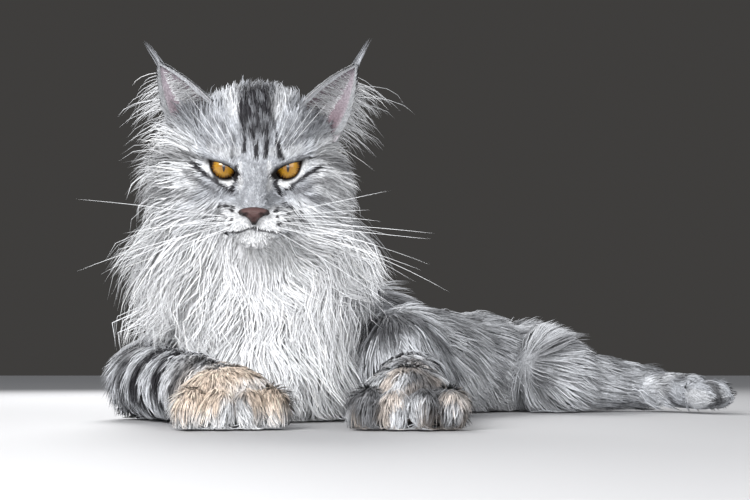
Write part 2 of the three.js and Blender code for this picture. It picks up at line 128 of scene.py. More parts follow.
def headForms():
    reach, drop = noseTip["reach"], noseTip["drop"]
    out = [
        egg((0, 34, 10), (43, 43, 39), 9, **{**face, "hair": 14}),
        egg((0, 13, 17), (31, 18, 22), 9, **face),
        limb((0, 3, 1), (0, 9 - reach, 6 - drop), 11.5, 9, 9, **{**face, "hair": 4}),
        limb((0, -8, -35), (0, 22, -24), 16, 27, 9, **{**face, "hair": 10}),
        egg((0, 5 - reach, 2 - drop), (7, 5.5, 6), 4, **{**face, "hair": 3}),
        egg((0, -20, -45), (12.5, 10.5, 7.5), 4, **{**face, "hair": 3.5}),
    ]
    for side in (-1, 1):
        out += [
            egg((side * 31, 24, -13), (21, 27, 24), 9, **{**face, "hair": 18}),
            egg((side * 11.0, -23, -35), (12.5, 13, 9.8), 4, **{**face, "hair": 5}),
            limb((side * 12, -3, 8), (side * 33, 4, 13), 4, 5, 4, **{**face, "hair": 6}),
            limb((side * 14, -3, -12), (side * 32, 3, -9), 3.5, 4, 4, **{**face, "hair": 4}),
        ]
    return out


def pawForms(centre, turn, name):
    cos, sin = math.cos(turn), math.sin(turn)

    def at(x, y, z):
        return (centre[0] + x * cos - y * sin, centre[1] + x * sin + y * cos, z)

    facts = {"zone": name, "hair": 15, "lie": (sin, -cos, -1.0)}
    turned = {**facts, "turn": turn}
    palm = egg(at(0, 3, 19), (27, 31, 19.5), 5, **turned)
    out = [palm, limb(at(0, 10, 20), at(0, 30, 22), 19, 18, 5, **facts)]
    for across in (-24, -8.5, 8.5, 24):
        out.append(egg(at(across, -30 + abs(across) * 0.35, 13.5), (9.5, 15, 12), 4, **turned))
    return out


# The tail's middle line from its root to its tip, with its thickness at each point.
tail = {
    "route": [
        (244, 336, 34), (268, 384, 30), (240, 424, 32), (176, 436, 33),
        (106, 420, 33), (50, 384, 31), (16, 340, 26),
    ],
    "thick": [13, 16, 18, 18, 17, 15, 8],
    "steps": 3,
    "hair": 46,
}


def tailForms():
    route, thick, steps = np.array(tail["route"], float), tail["thick"], tail["steps"]
    out = []
    for i in range(len(route) - 1):
        for k in range(steps):
            ends = [i + k / steps, i + (k + 1) / steps]
            a, b = catmull(route, ends[0]), catmull(route, ends[1])
            ra, rb = np.interp(ends, range(len(thick)), thick)
            out.append(limb(a, b, ra, rb, 8, zone="tail", hair=tail["hair"], lie=tuple(unit(b - a))))
    return out


def catmull(route, at):
    i = min(int(at), len(route) - 2)
    t = at - i
    p0, p1, p2, p3 = (route[min(max(i + k, 0), len(route) - 1)] for k in (-1, 0, 1, 2))
    slope, bend, twist = p2 - p0, 2 * p0 - 5 * p1 + 4 * p2 - p3, 3 * p1 - p0 - 3 * p2 + p3
    return 0.5 * (2 * p1 + slope * t + bend * t * t + twist * t ** 3)


def bodyForms():
    back = (0.58, 0.80, -0.12)
    toeTurn = math.radians(40)
    forms = [
        limb((6, 14, 46), (72, 108, 46), 47, 47, 14, zone="chest", hair=42, lie=back),
        egg((-5, -6, 130), (52, 37, 44), 12, zone="neck", hair=66),
        limb((-2, 8, 118), (8, 38, 84), 43, 46, 14, zone="neck", hair=62),
        limb((84, 128, 44), (160, 225, 38), 46, 42, 14, zone="belly", hair=42, lie=back),
        limb((165, 235, 37), (226, 312, 33), 42, 35, 14, zone="rump", hair=36, lie=back),
        limb((74, 52, 66), (110, 58, 34), 31, 26, 12, zone="armLeft", hair=34, lie=(0.5, -0.2, -0.9)),
        egg((98, 14, 50), (27, 39, 30), 12, zone="armLeft", hair=30, lie=(0.4, -0.35, -0.9)),
        limb((110, 30, 31), (103, -84, 24), 27, 19, 10, zone="forearmLeft", hair=20, lie=(0.15, -0.9, -0.75)),
        limb((-40, 44, 66), (-82, 44, 34), 31, 26, 12, zone="armRight", hair=34, lie=(-0.6, -0.2, -0.9)),
        limb((-86, 34, 31), (-32, -82, 24), 26, 19, 10, zone="forearmRight", hair=20, lie=(0.1, -0.8, -0.85)),
        limb((222, 300, 40), (231, 200, 34), 35, 28, 12, zone="thighLeft", hair=32, lie=(0.85, 0.2, -0.4)),
        limb((236, 196, 31), (316, 236, 23), 24, 15, 10, zone="shankLeft", hair=30, lie=(0.9, 0.35, -0.25)),
        limb((318, 234, 20), (354, 188, 17.5), 14, 14, 6, zone="hindLeft", hair=11, lie=(0.6, -0.75, -0.1)),
        limb((204, 308, 42), (130, 262, 36), 34, 27, 12, zone="thighRight", hair=34, lie=(-0.5, 0.6, -0.5)),
        limb((176, 342, 17), (124, 290, 15), 14.5, 13, 6, zone="hindRight", hair=11, lie=(-0.7, -0.7, -0.1)),
    ]
    for i, across in enumerate((-15, -5, 6, 16)):
        place = (363 + across * 0.7, 176 + across * 0.75 - (i % 2) * 2, 15.5)
        facts = {"zone": "hindLeft", "hair": 9, "lie": (0.65, -0.75, -0.1)}
        forms.append(egg(place, (7.5, 13, 12), 4, turn=toeTurn, **facts))
    for across in (-12, 0, 12):
        place = (112 + across * 0.6, 276 - across * 0.6, 12)
        facts = {"zone": "hindRight", "hair": 9, "lie": (-0.7, -0.7, -0.1)}
        forms.append(egg(place, (7.5, 14, 10.5), 4, turn=-toeTurn, **facts))
    forms += pawForms((102, -124), 0, "pawLeft") + pawForms((-14, -120), math.radians(12), "pawRight")
    return forms + tailForms()


forms = headForms() + bodyForms()
zoneNames = [form["zone"] for form in forms]


def turnFlat(points, turn):
    cos, sin = math.cos(turn), math.sin(turn)
    x, y, z = points.T
    return np.stack([x * cos - y * sin, x * sin + y * cos, z], axis=1)


def oneDistance(form, points):
    if "to" in form:
        along = form["to"] - form["at"]
        share = np.clip((points - form["at"]) @ along / (along @ along), 0, 1)
        away = np.linalg.norm(points - form["at"] - share[:, None] * along, axis=1)
        return away - mix(form["r0"], form["r1"], share)
    scaled = turnFlat(points - form["at"], -form["turn"]) / form["radii"]
    steep = np.maximum(np.linalg.norm(scaled / form["radii"], axis=1), 1e-6)
    reach = np.linalg.norm(scaled, axis=1)
    return reach * (reach - 1) / steep


# A form's distance is worked out up to formReach from it, and is farAway beyond.
farAway = 400.0
formReach = 45


def formDistances(points):
    local = toHead(points)
    out = np.full((len(points), len(forms)), farAway)
    for i, form in enumerate(forms):
        where = local if form.get("inHead") else points
        ends = [form["at"], form.get("to", form["at"])]
        thick = max(form["r0"], form["r1"]) if "to" in form else form["radii"].max()
        low, high = np.min(ends, axis=0) - thick - formReach, np.max(ends, axis=0) + thick + formReach
        near = np.all((where > low) & (where < high), axis=1)
        if near.any():
            out[near, i] = oneDistance(form, where[near])
    return out


# The mouth's line and the groove under the nose, in the head's frame, pressed into the skin.
mouthLine = [(0, -36, -37.2), (7, -34, -39.6), (13, -30, -40.8), (19, -22, -41.4)]
folds = [
    {"line": mouthLine, "wide": 1.1, "deep": 1.7},
    {"line": [(0, -39, -31.5), (0, -36, -37.2)], "wide": 0.9, "deep": 1.1},
    {"line": [(9, -26, -20), (15, -20, -25), (23, -10, -30)], "wide": 2.2, "deep": 1.0},
    {"line": [(9, -8, 6), (10, -6, 14), (13, -2, 22)], "wide": 2.0, "deep": 0.8},
]


def lineDistance(points, line):
    best = np.full(len(points), farAway)
    for a, b in zip(line[:-1], line[1:]):
        a, b = np.array(a, float), np.array(b, float)
        share = np.clip((points - a) @ (b - a) / ((b - a) @ (b - a)), 0, 1)
        best = np.minimum(best, np.linalg.norm(points - a - share[:, None] * (b - a), axis=1))
    return best


def mirrored(local):
    # The same places, all on the cat's left.
    out = np.array(local, order="C")
    out[:, 0] = np.abs(out[:, 0])
    return out


def skinField(points):
    distances = formDistances(points)
    out = distances[:, 0]
    for i in range(1, len(forms)):
        soft = forms[i]["soft"]
        near = np.maximum(soft - np.abs(out - distances[:, i]), 0) / soft
        out = np.minimum(out, distances[:, i]) - near * near * soft / 4
    local = toHead(points)
    front = (local[:, 1] < 5) & (np.abs(local[:, 0]) < 40) & (np.abs(local[:, 2]) < 60)
    if front.any():
        spot = mirrored(local[front])
        for fold in folds:
            out[front] += fold["deep"] * np.exp(-((lineDistance(spot, fold["line"]) / fold["wide"]) ** 2))
    return out


def slopeOf(field, points, value, step):
    return unit(np.stack([field(points + step * axis) - value for axis in np.eye(3)], axis=1))


def fieldSlope(points, value):
    return slopeOf(skinField, points, value, 0.4)


def placeMesh(name, mesh, material=None):
    piece = bpy.data.objects.new(name, mesh)
    bpy.context.scene.collection.objects.link(piece)
    if material is not None:
        mesh.materials.append(material)
    return piece


def meshObject(name, points, faces, material):
    mesh = bpy.data.meshes.new(name)
    corners = [tuple(int(i) for i in face) for face in faces]
    mesh.from_pydata([tuple(p) for p in np.asarray(points) * mm], [], corners)
    mesh.update()
    return placeMesh(name, mesh, material)


def turnFacesOut(piece):
    mesh = bmesh.new()
    mesh.from_mesh(piece.data)
    bmesh.ops.recalc_face_normals(mesh, faces=mesh.faces)
    mesh.to_mesh(piece.data)
    mesh.free()


def meshPoints(piece):
    flat = np.empty(len(piece.data.vertices) * 3)
    piece.data.vertices.foreach_get("co", flat)
    return flat.reshape(-1, 3) / mm


def setPoints(piece, points):
    piece.data.vertices.foreach_set("co", (points * mm).ravel())
    piece.data.update()


def setColours(piece, rgb):
    layer = piece.data.color_attributes.new("coat", "FLOAT_COLOR", "POINT")
    layer.data.foreach_set("color", np.concatenate([rgb, np.ones((len(rgb), 1))], axis=1).ravel())


def smoothShade(piece):
    piece.data.polygons.foreach_set("use_smooth", [True] * len(piece.data.polygons))
    piece.data.update()


def bow(a, b, c, t):
    # A place on the curve from a to c that b pulls towards itself.
    return (1 - t) ** 2 * a + 2 * t * (1 - t) * b + t * t * c


# The slot between the lids, seen from the front, as points round the left eye from its inner corner over the
# top. opened is how much wider the hole in the skin behind it is.
lidSlot = {
    "inner": (11.5, -3.4), "top": (20, 4.0), "outer": (32, 5.6), "low": (21, -7.4),
    "steps": 14, "opened": 1.22,
}


def lidOutline():
    inner, top, outer, low = (np.array(lidSlot[key], float) for key in ("inner", "top", "outer", "low"))
    corner = np.array([outer[0] - 1, low[1] + 0.7])
    start = np.array([inner[0] + 2.5, low[1]])
    steps = lidSlot["steps"]
    curves = ((inner, top, outer), (outer, corner, low), (low, start, inner))
    return np.array([bow(a, b, c, k / steps) for a, b, c in curves for k in range(steps)])


def grownOutline(outline, times):
    middle = outline.mean(axis=0)
    return middle + (outline - middle) * times


def insideOutline(outline, spots):
    inside = np.zeros(len(spots), bool)
    for (x0, z0), (x1, z1) in zip(outline, np.roll(outline, -1, axis=0)):
        crosses = (z0 > spots[:, 1]) != (z1 > spots[:, 1])
        with np.errstate(divide="ignore", invalid="ignore"):
            at = (x1 - x0) * (spots[:, 1] - z0) / (z1 - z0) + x0
        inside ^= crosses & (spots[:, 0] < at)
    return inside


def settle(points, rounds):
    # Slides points onto the skin along its slope.
    for _ in range(rounds):
        value = skinField(points)
        points = points - np.clip(value, -3, 3)[:, None] * fieldSlope(points, value)
    return points


def faceMiddles(mesh):
    return toHead(np.array([f.calc_center_median() for f in mesh.faces]) / mm)


skinSize = {"voxel": 2.3, "floor": 0.4, "facePart": (48, 26, -58, 48)}


def roughForm(form, normals):
    # The points of a ball drawn out to a form's own shape.
    if "to" in form:
        ahead = normals @ unit(form["to"] - form["at"]) > 0
        place = np.where(ahead[:, None], form["to"] + form["r1"] * normals, form["at"] + form["r0"] * normals)
    else:
        place = turnFlat(normals * form["radii"], form["turn"]) + form["at"]
    return fromHead(place) if form.get("inHead") else place


def makeSkin():
    rough = bmesh.new()
    for form in forms:
        ball = bmesh.ops.create_icosphere(rough, subdivisions=4, radius=1.0)["verts"]
        for v, p in zip(ball, roughForm(form, np.array([v.co for v in ball])) * mm):
            v.co = p
    mesh = bpy.data.meshes.new("skin")
    rough.to_mesh(mesh)
    rough.free()
    piece = placeMesh("skin", mesh)
    remesh = piece.modifiers.new("wrap", "REMESH")
    remesh.mode = "VOXEL"
    remesh.voxel_size = skinSize["voxel"] * mm
    whole = bpy.data.meshes.new_from_object(piece.evaluated_get(bpy.context.evaluated_depsgraph_get()))
    piece.modifiers.clear()
    piece.data = whole
    setPoints(piece, settle(meshPoints(piece), 5))
    refineFace(piece)
    setPoints(piece, settle(meshPoints(piece), 4))
    openEyes(piece)
    points = meshPoints(piece)
    points[:, 2] = np.maximum(points[:, 2], skinSize["floor"])
    setPoints(piece, points)
    smoothShade(piece)
    return piece


def refineFace(piece):
    halfWide, back, low, high = skinSize["facePart"]
    fine = bmesh.new()
    fine.from_mesh(piece.data)
    x, y, z = faceMiddles(fine).T
    inFace = (np.abs(x) < halfWide) & (y < back) & (z > low) & (z < high)
    edges = {e for f, chosen in zip(fine.faces, inFace) if chosen for e in f.edges}
    bmesh.ops.subdivide_edges(fine, edges=list(edges), cuts=1, use_grid_fill=True)
    fine.to_mesh(piece.data)
    fine.free()


def openEyes(piece):
    fine = bmesh.new()
    fine.from_mesh(piece.data)
    bmesh.ops.triangulate(fine, faces=fine.faces)
    middles = faceMiddles(fine)
    hole = grownOutline(lidOutline(), lidSlot["opened"])
    opened = insideOutline(hole, mirrored(middles[:, [0, 2]])) & (middles[:, 1] < 10)
    bmesh.ops.delete(fine, geom=[f for f, gone in zip(fine.faces, opened) if gone], context="FACES")
    fine.to_mesh(piece.data)
    fine.free()


# Markings. Each stroke of the face is a line in the head's frame seen from the front. The two halves differ a
# little.
faceStrokes = [
    {"line": [(-9, 52), (-11, 40), (-9, 32), (-8, 23), (-7, 12)], "wide": 1.3, "dark": 0.9},
    {"line": [(-3, 52), (-3, 37), (-4, 28), (0, 19), (1, 8)], "wide": 1.5, "dark": 1.0},
    {"line": [(2, 52), (1, 40), (1, 30), (1, 19)], "wide": 1.3, "dark": 0.85},
    {"line": [(6, 52), (6, 43), (9, 35), (7, 27), (8, 17), (7, 9)], "wide": 1.4, "dark": 1.0},
    {"line": [(9, 34), (12, 30), (11, 25)], "wide": 1.5, "dark": 0.75},
    {"line": [(14, 24), (15, 20), (17, 12), (18, 7)], "wide": 1.4, "dark": 0.9},
    {"line": [(-14, 22), (-15, 14), (-16, 8)], "wide": 1.3, "dark": 0.55},
    {"line": [(22, 16), (29, 20)], "wide": 2.3, "dark": 0.55},
    {"line": [(-33, 17), (-27, 15)], "wide": 2.2, "dark": 0.5},
    {"line": [(-32, 5), (-39, 7), (-46, 3), (-55, -5)], "wide": 1.2, "dark": 0.55},
    {"line": [(30, 8), (42, 7), (49, 1), (57, -3)], "wide": 1.2, "dark": 0.6},
    {"line": [(-42, 2), (-33, -4.5), (-25, -10), (-17, -14)], "wide": 1.15, "dark": 0.95},
    {"line": [(42, 0), (34, -5), (26, -10), (20, -14)], "wide": 1.15, "dark": 0.95},
    {"line": [(-45, -3), (-38, -10), (-27, -15)], "wide": 1.7, "dark": 0.6},
    {"line": [(47, -7), (37, -12), (28, -16)], "wide": 1.7, "dark": 0.55},
    {"line": [(-54, -13), (-41, -19)], "wide": 1.9, "dark": 0.55},
    {"line": [(36, -19), (44, -19)], "wide": 1.9, "dark": 0.6},
    {"line": [(-13.2, 1), (-13, -8), (-15, -14)], "wide": 1.2, "dark": 1.0},
    {"line": [(13.2, 1), (13.6, -9), (16.5, -17)], "wide": 1.2, "dark": 1.0},
    {"line": [(-36, -41), (-30, -43), (-25, -44.5), (-19, -42.5)], "wide": 2.0, "dark": 1.0},
    {"line": [(27, -40), (26, -44), (21, -48)], "wide": 2.2, "dark": 0.75},
    {"line": [(-18, -41), (-7, -39.8), (0, -37.6), (7, -39.8), (18, -41)], "wide": 0.8, "dark": 0.75},
]
whiskerDots = {"rows": (-26.5, -30.5, -34.5), "first": 14, "step": 5.0, "each": 4, "wide": 0.85, "dark": 0.95}
for row, high in enumerate(whiskerDots["rows"]):
    for k in range(whiskerDots["each"]):
        for side in (-1, 1):
            spot = (side * (whiskerDots["first"] + row + whiskerDots["step"] * k), high + 0.5 * k)
            line = [spot, (spot[0] + side, spot[1])]
            faceStrokes.append({"line": line, "wide": whiskerDots["wide"], "dark": whiskerDots["dark"]})
greyPatches = [
    {"at": (0, -12), "size": (11, 20), "much": 0.24},
    {"at": (27, 22), "size": (12, 12), "much": 0.34},
    {"at": (38, -14), "size": (16, 9), "much": 0.26},
    {"at": (14, 10), "size": (6, 6), "much": 0.22},
]
paleStrokes = [
    {"line": [(35, 4), (30, -4.5), (23, -9), (16, -9.5)], "wide": 2.3, "much": 1.0},
    {"line": [(9.6, 4), (9.8, -12)], "wide": 1.5, "much": 0.9},
    {"line": [(12, 12), (20, 11), (30, 14)], "wide": 3.0, "much": 0.45},
    {"line": [(14, 38), (18, 50)], "wide": 5.0, "much": 0.6},
]
palePatches = [
    {"at": (12, -33), "size": (14, 8.5), "much": 1.0},
    {"at": (0, -50), "size": (22, 12), "much": 1.0},
    {"at": (34, -32), "size": (17, 11), "much": 0.7},
    {"at": (54, 0), "size": (16, 34), "much": 0.85},
]


def strokeShare(spots, stroke, low, high):
    return 1 - smooth(low, high, lineDistance(spots, stroke["line"]) / stroke["wide"])


def patchShare(spots, patch, low, high):
    reach = np.linalg.norm((spots - np.array(patch["at"])) / np.array(patch["size"]), axis=1)
    return 1 - smooth(low, high, reach)


def faceMarks(points):
    local = toHead(points)
    wobble = np.stack([ripple(points, 12, 3), ripple(points, 12, 4)], axis=1) * 0.9
    spots = local[:, [0, 2]] + wobble
    oneSide = mirrored(spots)
    dark, pale = np.zeros(len(points)), np.zeros(len(points))
    for stroke in faceStrokes:
        dark = np.maximum(dark, stroke["dark"] * strokeShare(spots, stroke, 0.8, 1.6))
    speckle = mix(0.55, 1.3, smooth(-0.5, 0.6, ripple(local * np.array([1.3, 1, 1]), 6, 11)))
    for patch in greyPatches:
        dark = np.maximum(dark, patch["much"] * speckle * patchShare(oneSide, patch, 0.5, 1.3))
    for patch in palePatches:
        pale = np.maximum(pale, patch["much"] * patchShare(oneSide, patch, 0.65, 1.25))
    for stroke in paleStrokes:
        pale = np.maximum(pale, stroke["much"] * strokeShare(oneSide, stroke, 0.7, 1.5))
    broken = 0.45 + 0.55 * smooth(-0.55, 0.0, ripple(local * np.array([2.2, 1, 0.7]), 7, 6))
    band = 0.85 * smooth(15, 8, np.abs(spots[:, 0] - 0.5)) * smooth(6, 30, spots[:, 1])
    broken = mix(1.0, broken, smooth(3, 9, spots[:, 1]))
    dark = np.minimum(np.maximum(dark * broken, band * mix(broken, 1.0, 0.5)) * 1.15, 1)
    front = 1 - smooth(20, 45, local[:, 1])
    return dark * front, pale * front, local


def zoneWeights(points, softness):
    # How much each form counts at each place, from 0 to 1.
    distances = formDistances(points)
    near = distances - distances.min(axis=1, keepdims=True)
    weights = np.exp(-near / softness)
    return weights / weights.sum(axis=1, keepdims=True)


zoneSoftness = {"wide": 9, "close": 7.0}


def zoneShare(weights, *zones):
    picked = [i for i, name in enumerate(zoneNames) if name in zones]
    return weights[:, picked].sum(axis=1)


def limbShare(points, zone):
    form = next(f for f in forms if f["zone"] == zone and "to" in f)
    along = form["to"] - form["at"]
    return (points - form["at"]) @ along / (along @ along)


def bars(position, count, points, seed):
    wave = np.sin(2 * math.pi * (position * count + 0.22 * ripple(points, 42, seed)))
    return smooth(0.25, 0.8, wave)


# The bars across each limb: how dark and how many, their noise, and how pale the coat between them is.
limbBars = {
    "armLeft": {"dark": 0.85, "count": 2.4, "seed": 31, "pale": 0.3},
    "armRight": {"dark": 0.85, "count": 2.4, "seed": 33, "pale": 0.3},
    "forearmLeft": {"dark": 1.0, "count": 3.4, "seed": 35, "pale": 0.3},
    "forearmRight": {"dark": 1.0, "count": 3.4, "seed": 37, "pale": 0.3},
    "thighLeft": {"dark": 0.95, "count": 2.4, "seed": 41, "pale": 0.45},
    "thighRight": {"dark": 0.95, "count": 2.4, "seed": 43, "pale": 0.45},
    "shankLeft": {"dark": 0.45, "count": 2.2, "seed": 45, "pale": 0.35},
}


def markings(points, weights):
    # How dark, how pale and how warm the coat is at each place, from 0 to 1.
    count = len(points)
    dark, pale, warm = np.zeros(count), np.zeros(count), np.zeros(count)
    x, y, z = points.T

    def part(*zones):
        return zoneShare(weights, *zones)

    def noise(low, high, size, seed, where=points):
        return smooth(low, high, ripple(where, size, seed))

    head = part("face")
    faceDark, facePale, local = faceMarks(points)
    dark += head * faceDark
    pale += head * facePale
    dark += head * 0.16 * noise(0.1, 0.9, 9, 9, local * np.array([1, 1, 1.6]))
    far = smooth(8, 30, local[:, 1])
    pale += head * smooth(-42, -50, local[:, 2])
    pale += head * far * 0.75 * smooth(24, 8, local[:, 2])
    dark += head * far * smooth(14, 30, local[:, 2]) * smooth(26, 36, np.abs(local[:, 0])) * 0.6
    dark += head * smooth(38, 60, local[:, 1]) * 0.45 * noise(-0.2, 0.6, 22, 10, local)

    neck = part("neck")
    behind = smooth(0, 34, y + 0.25 * np.abs(x))
    pale += neck * mix(1.0, 0.3, behind)
    pale -= neck * 0.45 * noise(0.0, 0.7, 30, 14) * smooth(26, 56, np.abs(x))
    dark += neck * behind * (0.2 + 0.35 * noise(0, 0.8, 30, 12))
    chest = part("chest")
    bib = 1 - smooth(-12, 40, y)
    pale += chest * bib
    trunk = part("chest", "belly", "rump") * (1 - bib * chest)
    along = (x * 0.58 + y * 0.81) / 300
    spine = 1 - smooth(18, 52, np.abs((x - 2) * 0.81 - (y - 2) * 0.58))
    dark += trunk * (0.25 * spine + 0.55 * bars(along, 6.5, points, 21) * noise(-0.6, 0.3, 55, 22))
    pale += trunk * (0.5 + 0.3 * (1 - smooth(10, 60, z)))

    for zone, facts in limbBars.items():
        if zone.startswith("arm"):
            place = (120 - z - y * 0.4) / 100
        else:
            place = limbShare(points, zone) + (x / 160 if zone.startswith("thigh") else 0)
        dark += part(zone) * facts["dark"] * bars(place, facts["count"], points, facts["seed"])
        pale += part(zone) * facts["pale"]
    hind = part("hindLeft", "hindRight")
    pale += hind * 0.5 * noise(-0.2, 0.5, 30, 47)
    dark += hind * 0.7 * noise(0.1, 0.6, 24, 48)
    pawLeft, pawRight = part("pawLeft"), part("pawRight")
    pale += pawRight * mix(0.8, 1.0, noise(-0.4, 0.5, 34, 51))
    warm += pawRight * noise(-0.7, 0.2, 40, 52) * smooth(6, 20, z)
    dark += pawRight * 0.4 * noise(0.5, 0.85, 22, 56)
    dark += pawLeft * 0.75 * noise(-0.3, 0.6, 26, 53)
    warm += pawLeft * 0.6 * noise(-0.3, 0.6, 22, 54)
    pale += pawLeft * 0.5
    rings = np.sin(np.arctan2(y - 360, x - 140) * 9 + ripple(points, 40, 57))
    dark += part("tail") * 0.55 * smooth(-0.2, 0.7, rings)
    return np.clip(dark, 0, 1), np.clip(pale, 0, 1), np.clip(warm, 0, 1)


def coatColour(dark, pale, warm):
    count = len(dark)
    out = mix(colour("silver", count), colour("white", count), pale[:, None])
    out = mix(out, colour("cream", count), (warm * 0.75)[:, None])
    return mix(out, colour("dark", count), dark[:, None])


def frontOfSkin(spots, side):
    # The skin's front, as y in the head's frame, at places seen from the front.
    depths = np.arange(-50, 26, 1.0)
    grid = np.array([[(side * x, y, z) for y in depths] for x, z in spots]).reshape(-1, 3)
    value = skinField(fromHead(grid)).reshape(len(spots), len(depths))
    first = np.argmax(value < 0, axis=1)
    rows = np.arange(len(spots))
    ahead, behind = value[rows, np.maximum(first - 1, 0)], value[rows, first]
    return depths[first] + behind / np.maximum(ahead - behind, 1e-6)


lidShape = {"lip": 0.5, "roll": 1.6, "fade": 3.6, "buried": 6.5}


def makeLids(side, material):
    outline = lidOutline()
    outward = unit(outline - outline.mean(axis=0))
    radius = (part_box("eye_left")[1][0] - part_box("eye_left")[0][0]) / 2 / mm
    centre = toHead(eyeCentre[side][None])[0] * np.array([side, 1, 1])
    away = ((outline - centre[[0, 2]]) ** 2).sum(axis=1)
    ballFront = centre[1] - np.sqrt(np.maximum((radius + 1.0) ** 2 - away, 1.0))
    skinHere = frontOfSkin(outline, side)
    lip = np.clip(ballFront, skinHere - 0.8, skinHere + 3.0)
    rows = [
        (grownOutline(outline, 0.5), np.full(len(outline), centre[1] + 2)),
        (grownOutline(outline, 0.9), lip + 2.4),
        (outline, lip + 0.7),
        (outline + outward * lidShape["lip"], lip - 0.3),
    ]
    for reach, lift in ((lidShape["roll"], -0.9), (lidShape["fade"], -0.55), (lidShape["buried"], 0.9)):
        spots = outline + outward * reach
        rows.append((spots, frontOfSkin(spots, side) + lift))
    levels = [np.column_stack([side * spots[:, 0], depth, spots[:, 1]]) for spots, depth in rows]
    points = np.concatenate(levels)
    count = len(outline)
    faces = []
    for k in range(len(rows) - 1):
        for j in range(count):
            a, b = k * count + j, k * count + (j + 1) % count
            face = (a, b, b + count, a + count)
            faces.append(face if side < 0 else face[::-1])
    world = fromHead(points)
    piece = meshObject("lids_left" if side > 0 else "lids_right", world, faces, material)
    tone = coatColour(*markings(world, zoneWeights(world, zoneSoftness["close"])))
    rim = colour("rim", len(points))
    top = smooth(-3, 1, np.tile(outline[:, 1] - np.interp(outline[:, 0], [11, 32], [-6, 3]), len(rows)))
    share = np.repeat(np.array([1, 1, 1, 0.9, 0.25, 0.0, 0.0]), count)
    share = np.maximum(share, top * np.repeat(np.array([1, 1, 1, 1, 0.8, 0.4, 0.1]), count))
    setColours(piece, mix(tone, rim, share[:, None]))
    smoothShade(piece)
    return piece


eyeShape = {"segments": 64, "rings": 48, "corneaRise": 0.55, "cornea": 0.62}


def makeEye(side, aim, material):
    name = "eye_left" if side > 0 else "eye_right"
    low, high = (np.array(corner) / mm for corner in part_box(name))
    radius = (high[0] - low[0]) / 2
    centre = (low + high) / 2
    gaze = unit(aim - centre)
    across = unit(np.cross(gaze, up))
    over = np.cross(across, gaze)
    segments, rings = eyeShape["segments"], eyeShape["rings"]
    points, flat = [gaze * (radius + eyeShape["corneaRise"])], [(0, 0, 1)]
    for ring in range(1, rings):
        tilt = math.pi * ring / rings
        dome = 1 - smooth(0, eyeShape["cornea"], math.sin(tilt)) if tilt < 1.5 else 0
        rise = eyeShape["corneaRise"] * dome
        for k in range(segments):
            turn = 2 * math.pi * k / segments
            way = gaze * math.cos(tilt) + (across * math.cos(turn) + over * math.sin(turn)) * math.sin(tilt)
            points.append(way * (radius + float(rise)))
            flat.append((math.sin(tilt) * math.cos(turn), math.sin(tilt) * math.sin(turn), math.cos(tilt)))
    points.append(-gaze * radius)
    flat.append((0, 0, -1))
    faces = [(0, 1 + (k + 1) % segments, 1 + k) for k in range(segments)]
    for ring in range(rings - 2):
        start = 1 + ring * segments
        for k in range(segments):
            after = (k + 1) % segments
            faces.append((start + k, start + after, start + segments + after, start + segments + k))
    last = len(points) - 1
    faces += [(last, last - segments + k, last - segments + (k + 1) % segments) for k in range(segments)]
    piece = meshObject(name + "_ball", np.array(points) + centre, faces, material)
    layer = piece.data.attributes.new("gaze", "FLOAT_VECTOR", "POINT")
    layer.data.foreach_set("vector", np.array(flat, float).ravel())
    turnFacesOut(piece)
    smoothShade(piece)
    return piece


# dent and shade are the sizes of the nostril as a hollow and as a dark spot; the spot is painted shade in the
# hole, with the nose's own dark rim round it.
noseShape = {
    "wide": (10.8, 4.0, 3.6), "nostril": (5.9, -39.2, -28.0), "dent": (2.0, 3.0, 1.25),
    "shade": (2.4, 4.0, 1.7), "start": (9, 4, 6), "rounds": 12,
}


def nostrilReach(spot, size):
    # How far places are from the middle of the comma of a nostril, where 1 is its edge.
    slant = spot[:, 2] + 0.25 * spot[:, 0]
    return np.sqrt((spot[:, 0] / size[0]) ** 2 + (spot[:, 1] / size[1]) ** 2 + (slant / size[2]) ** 2)


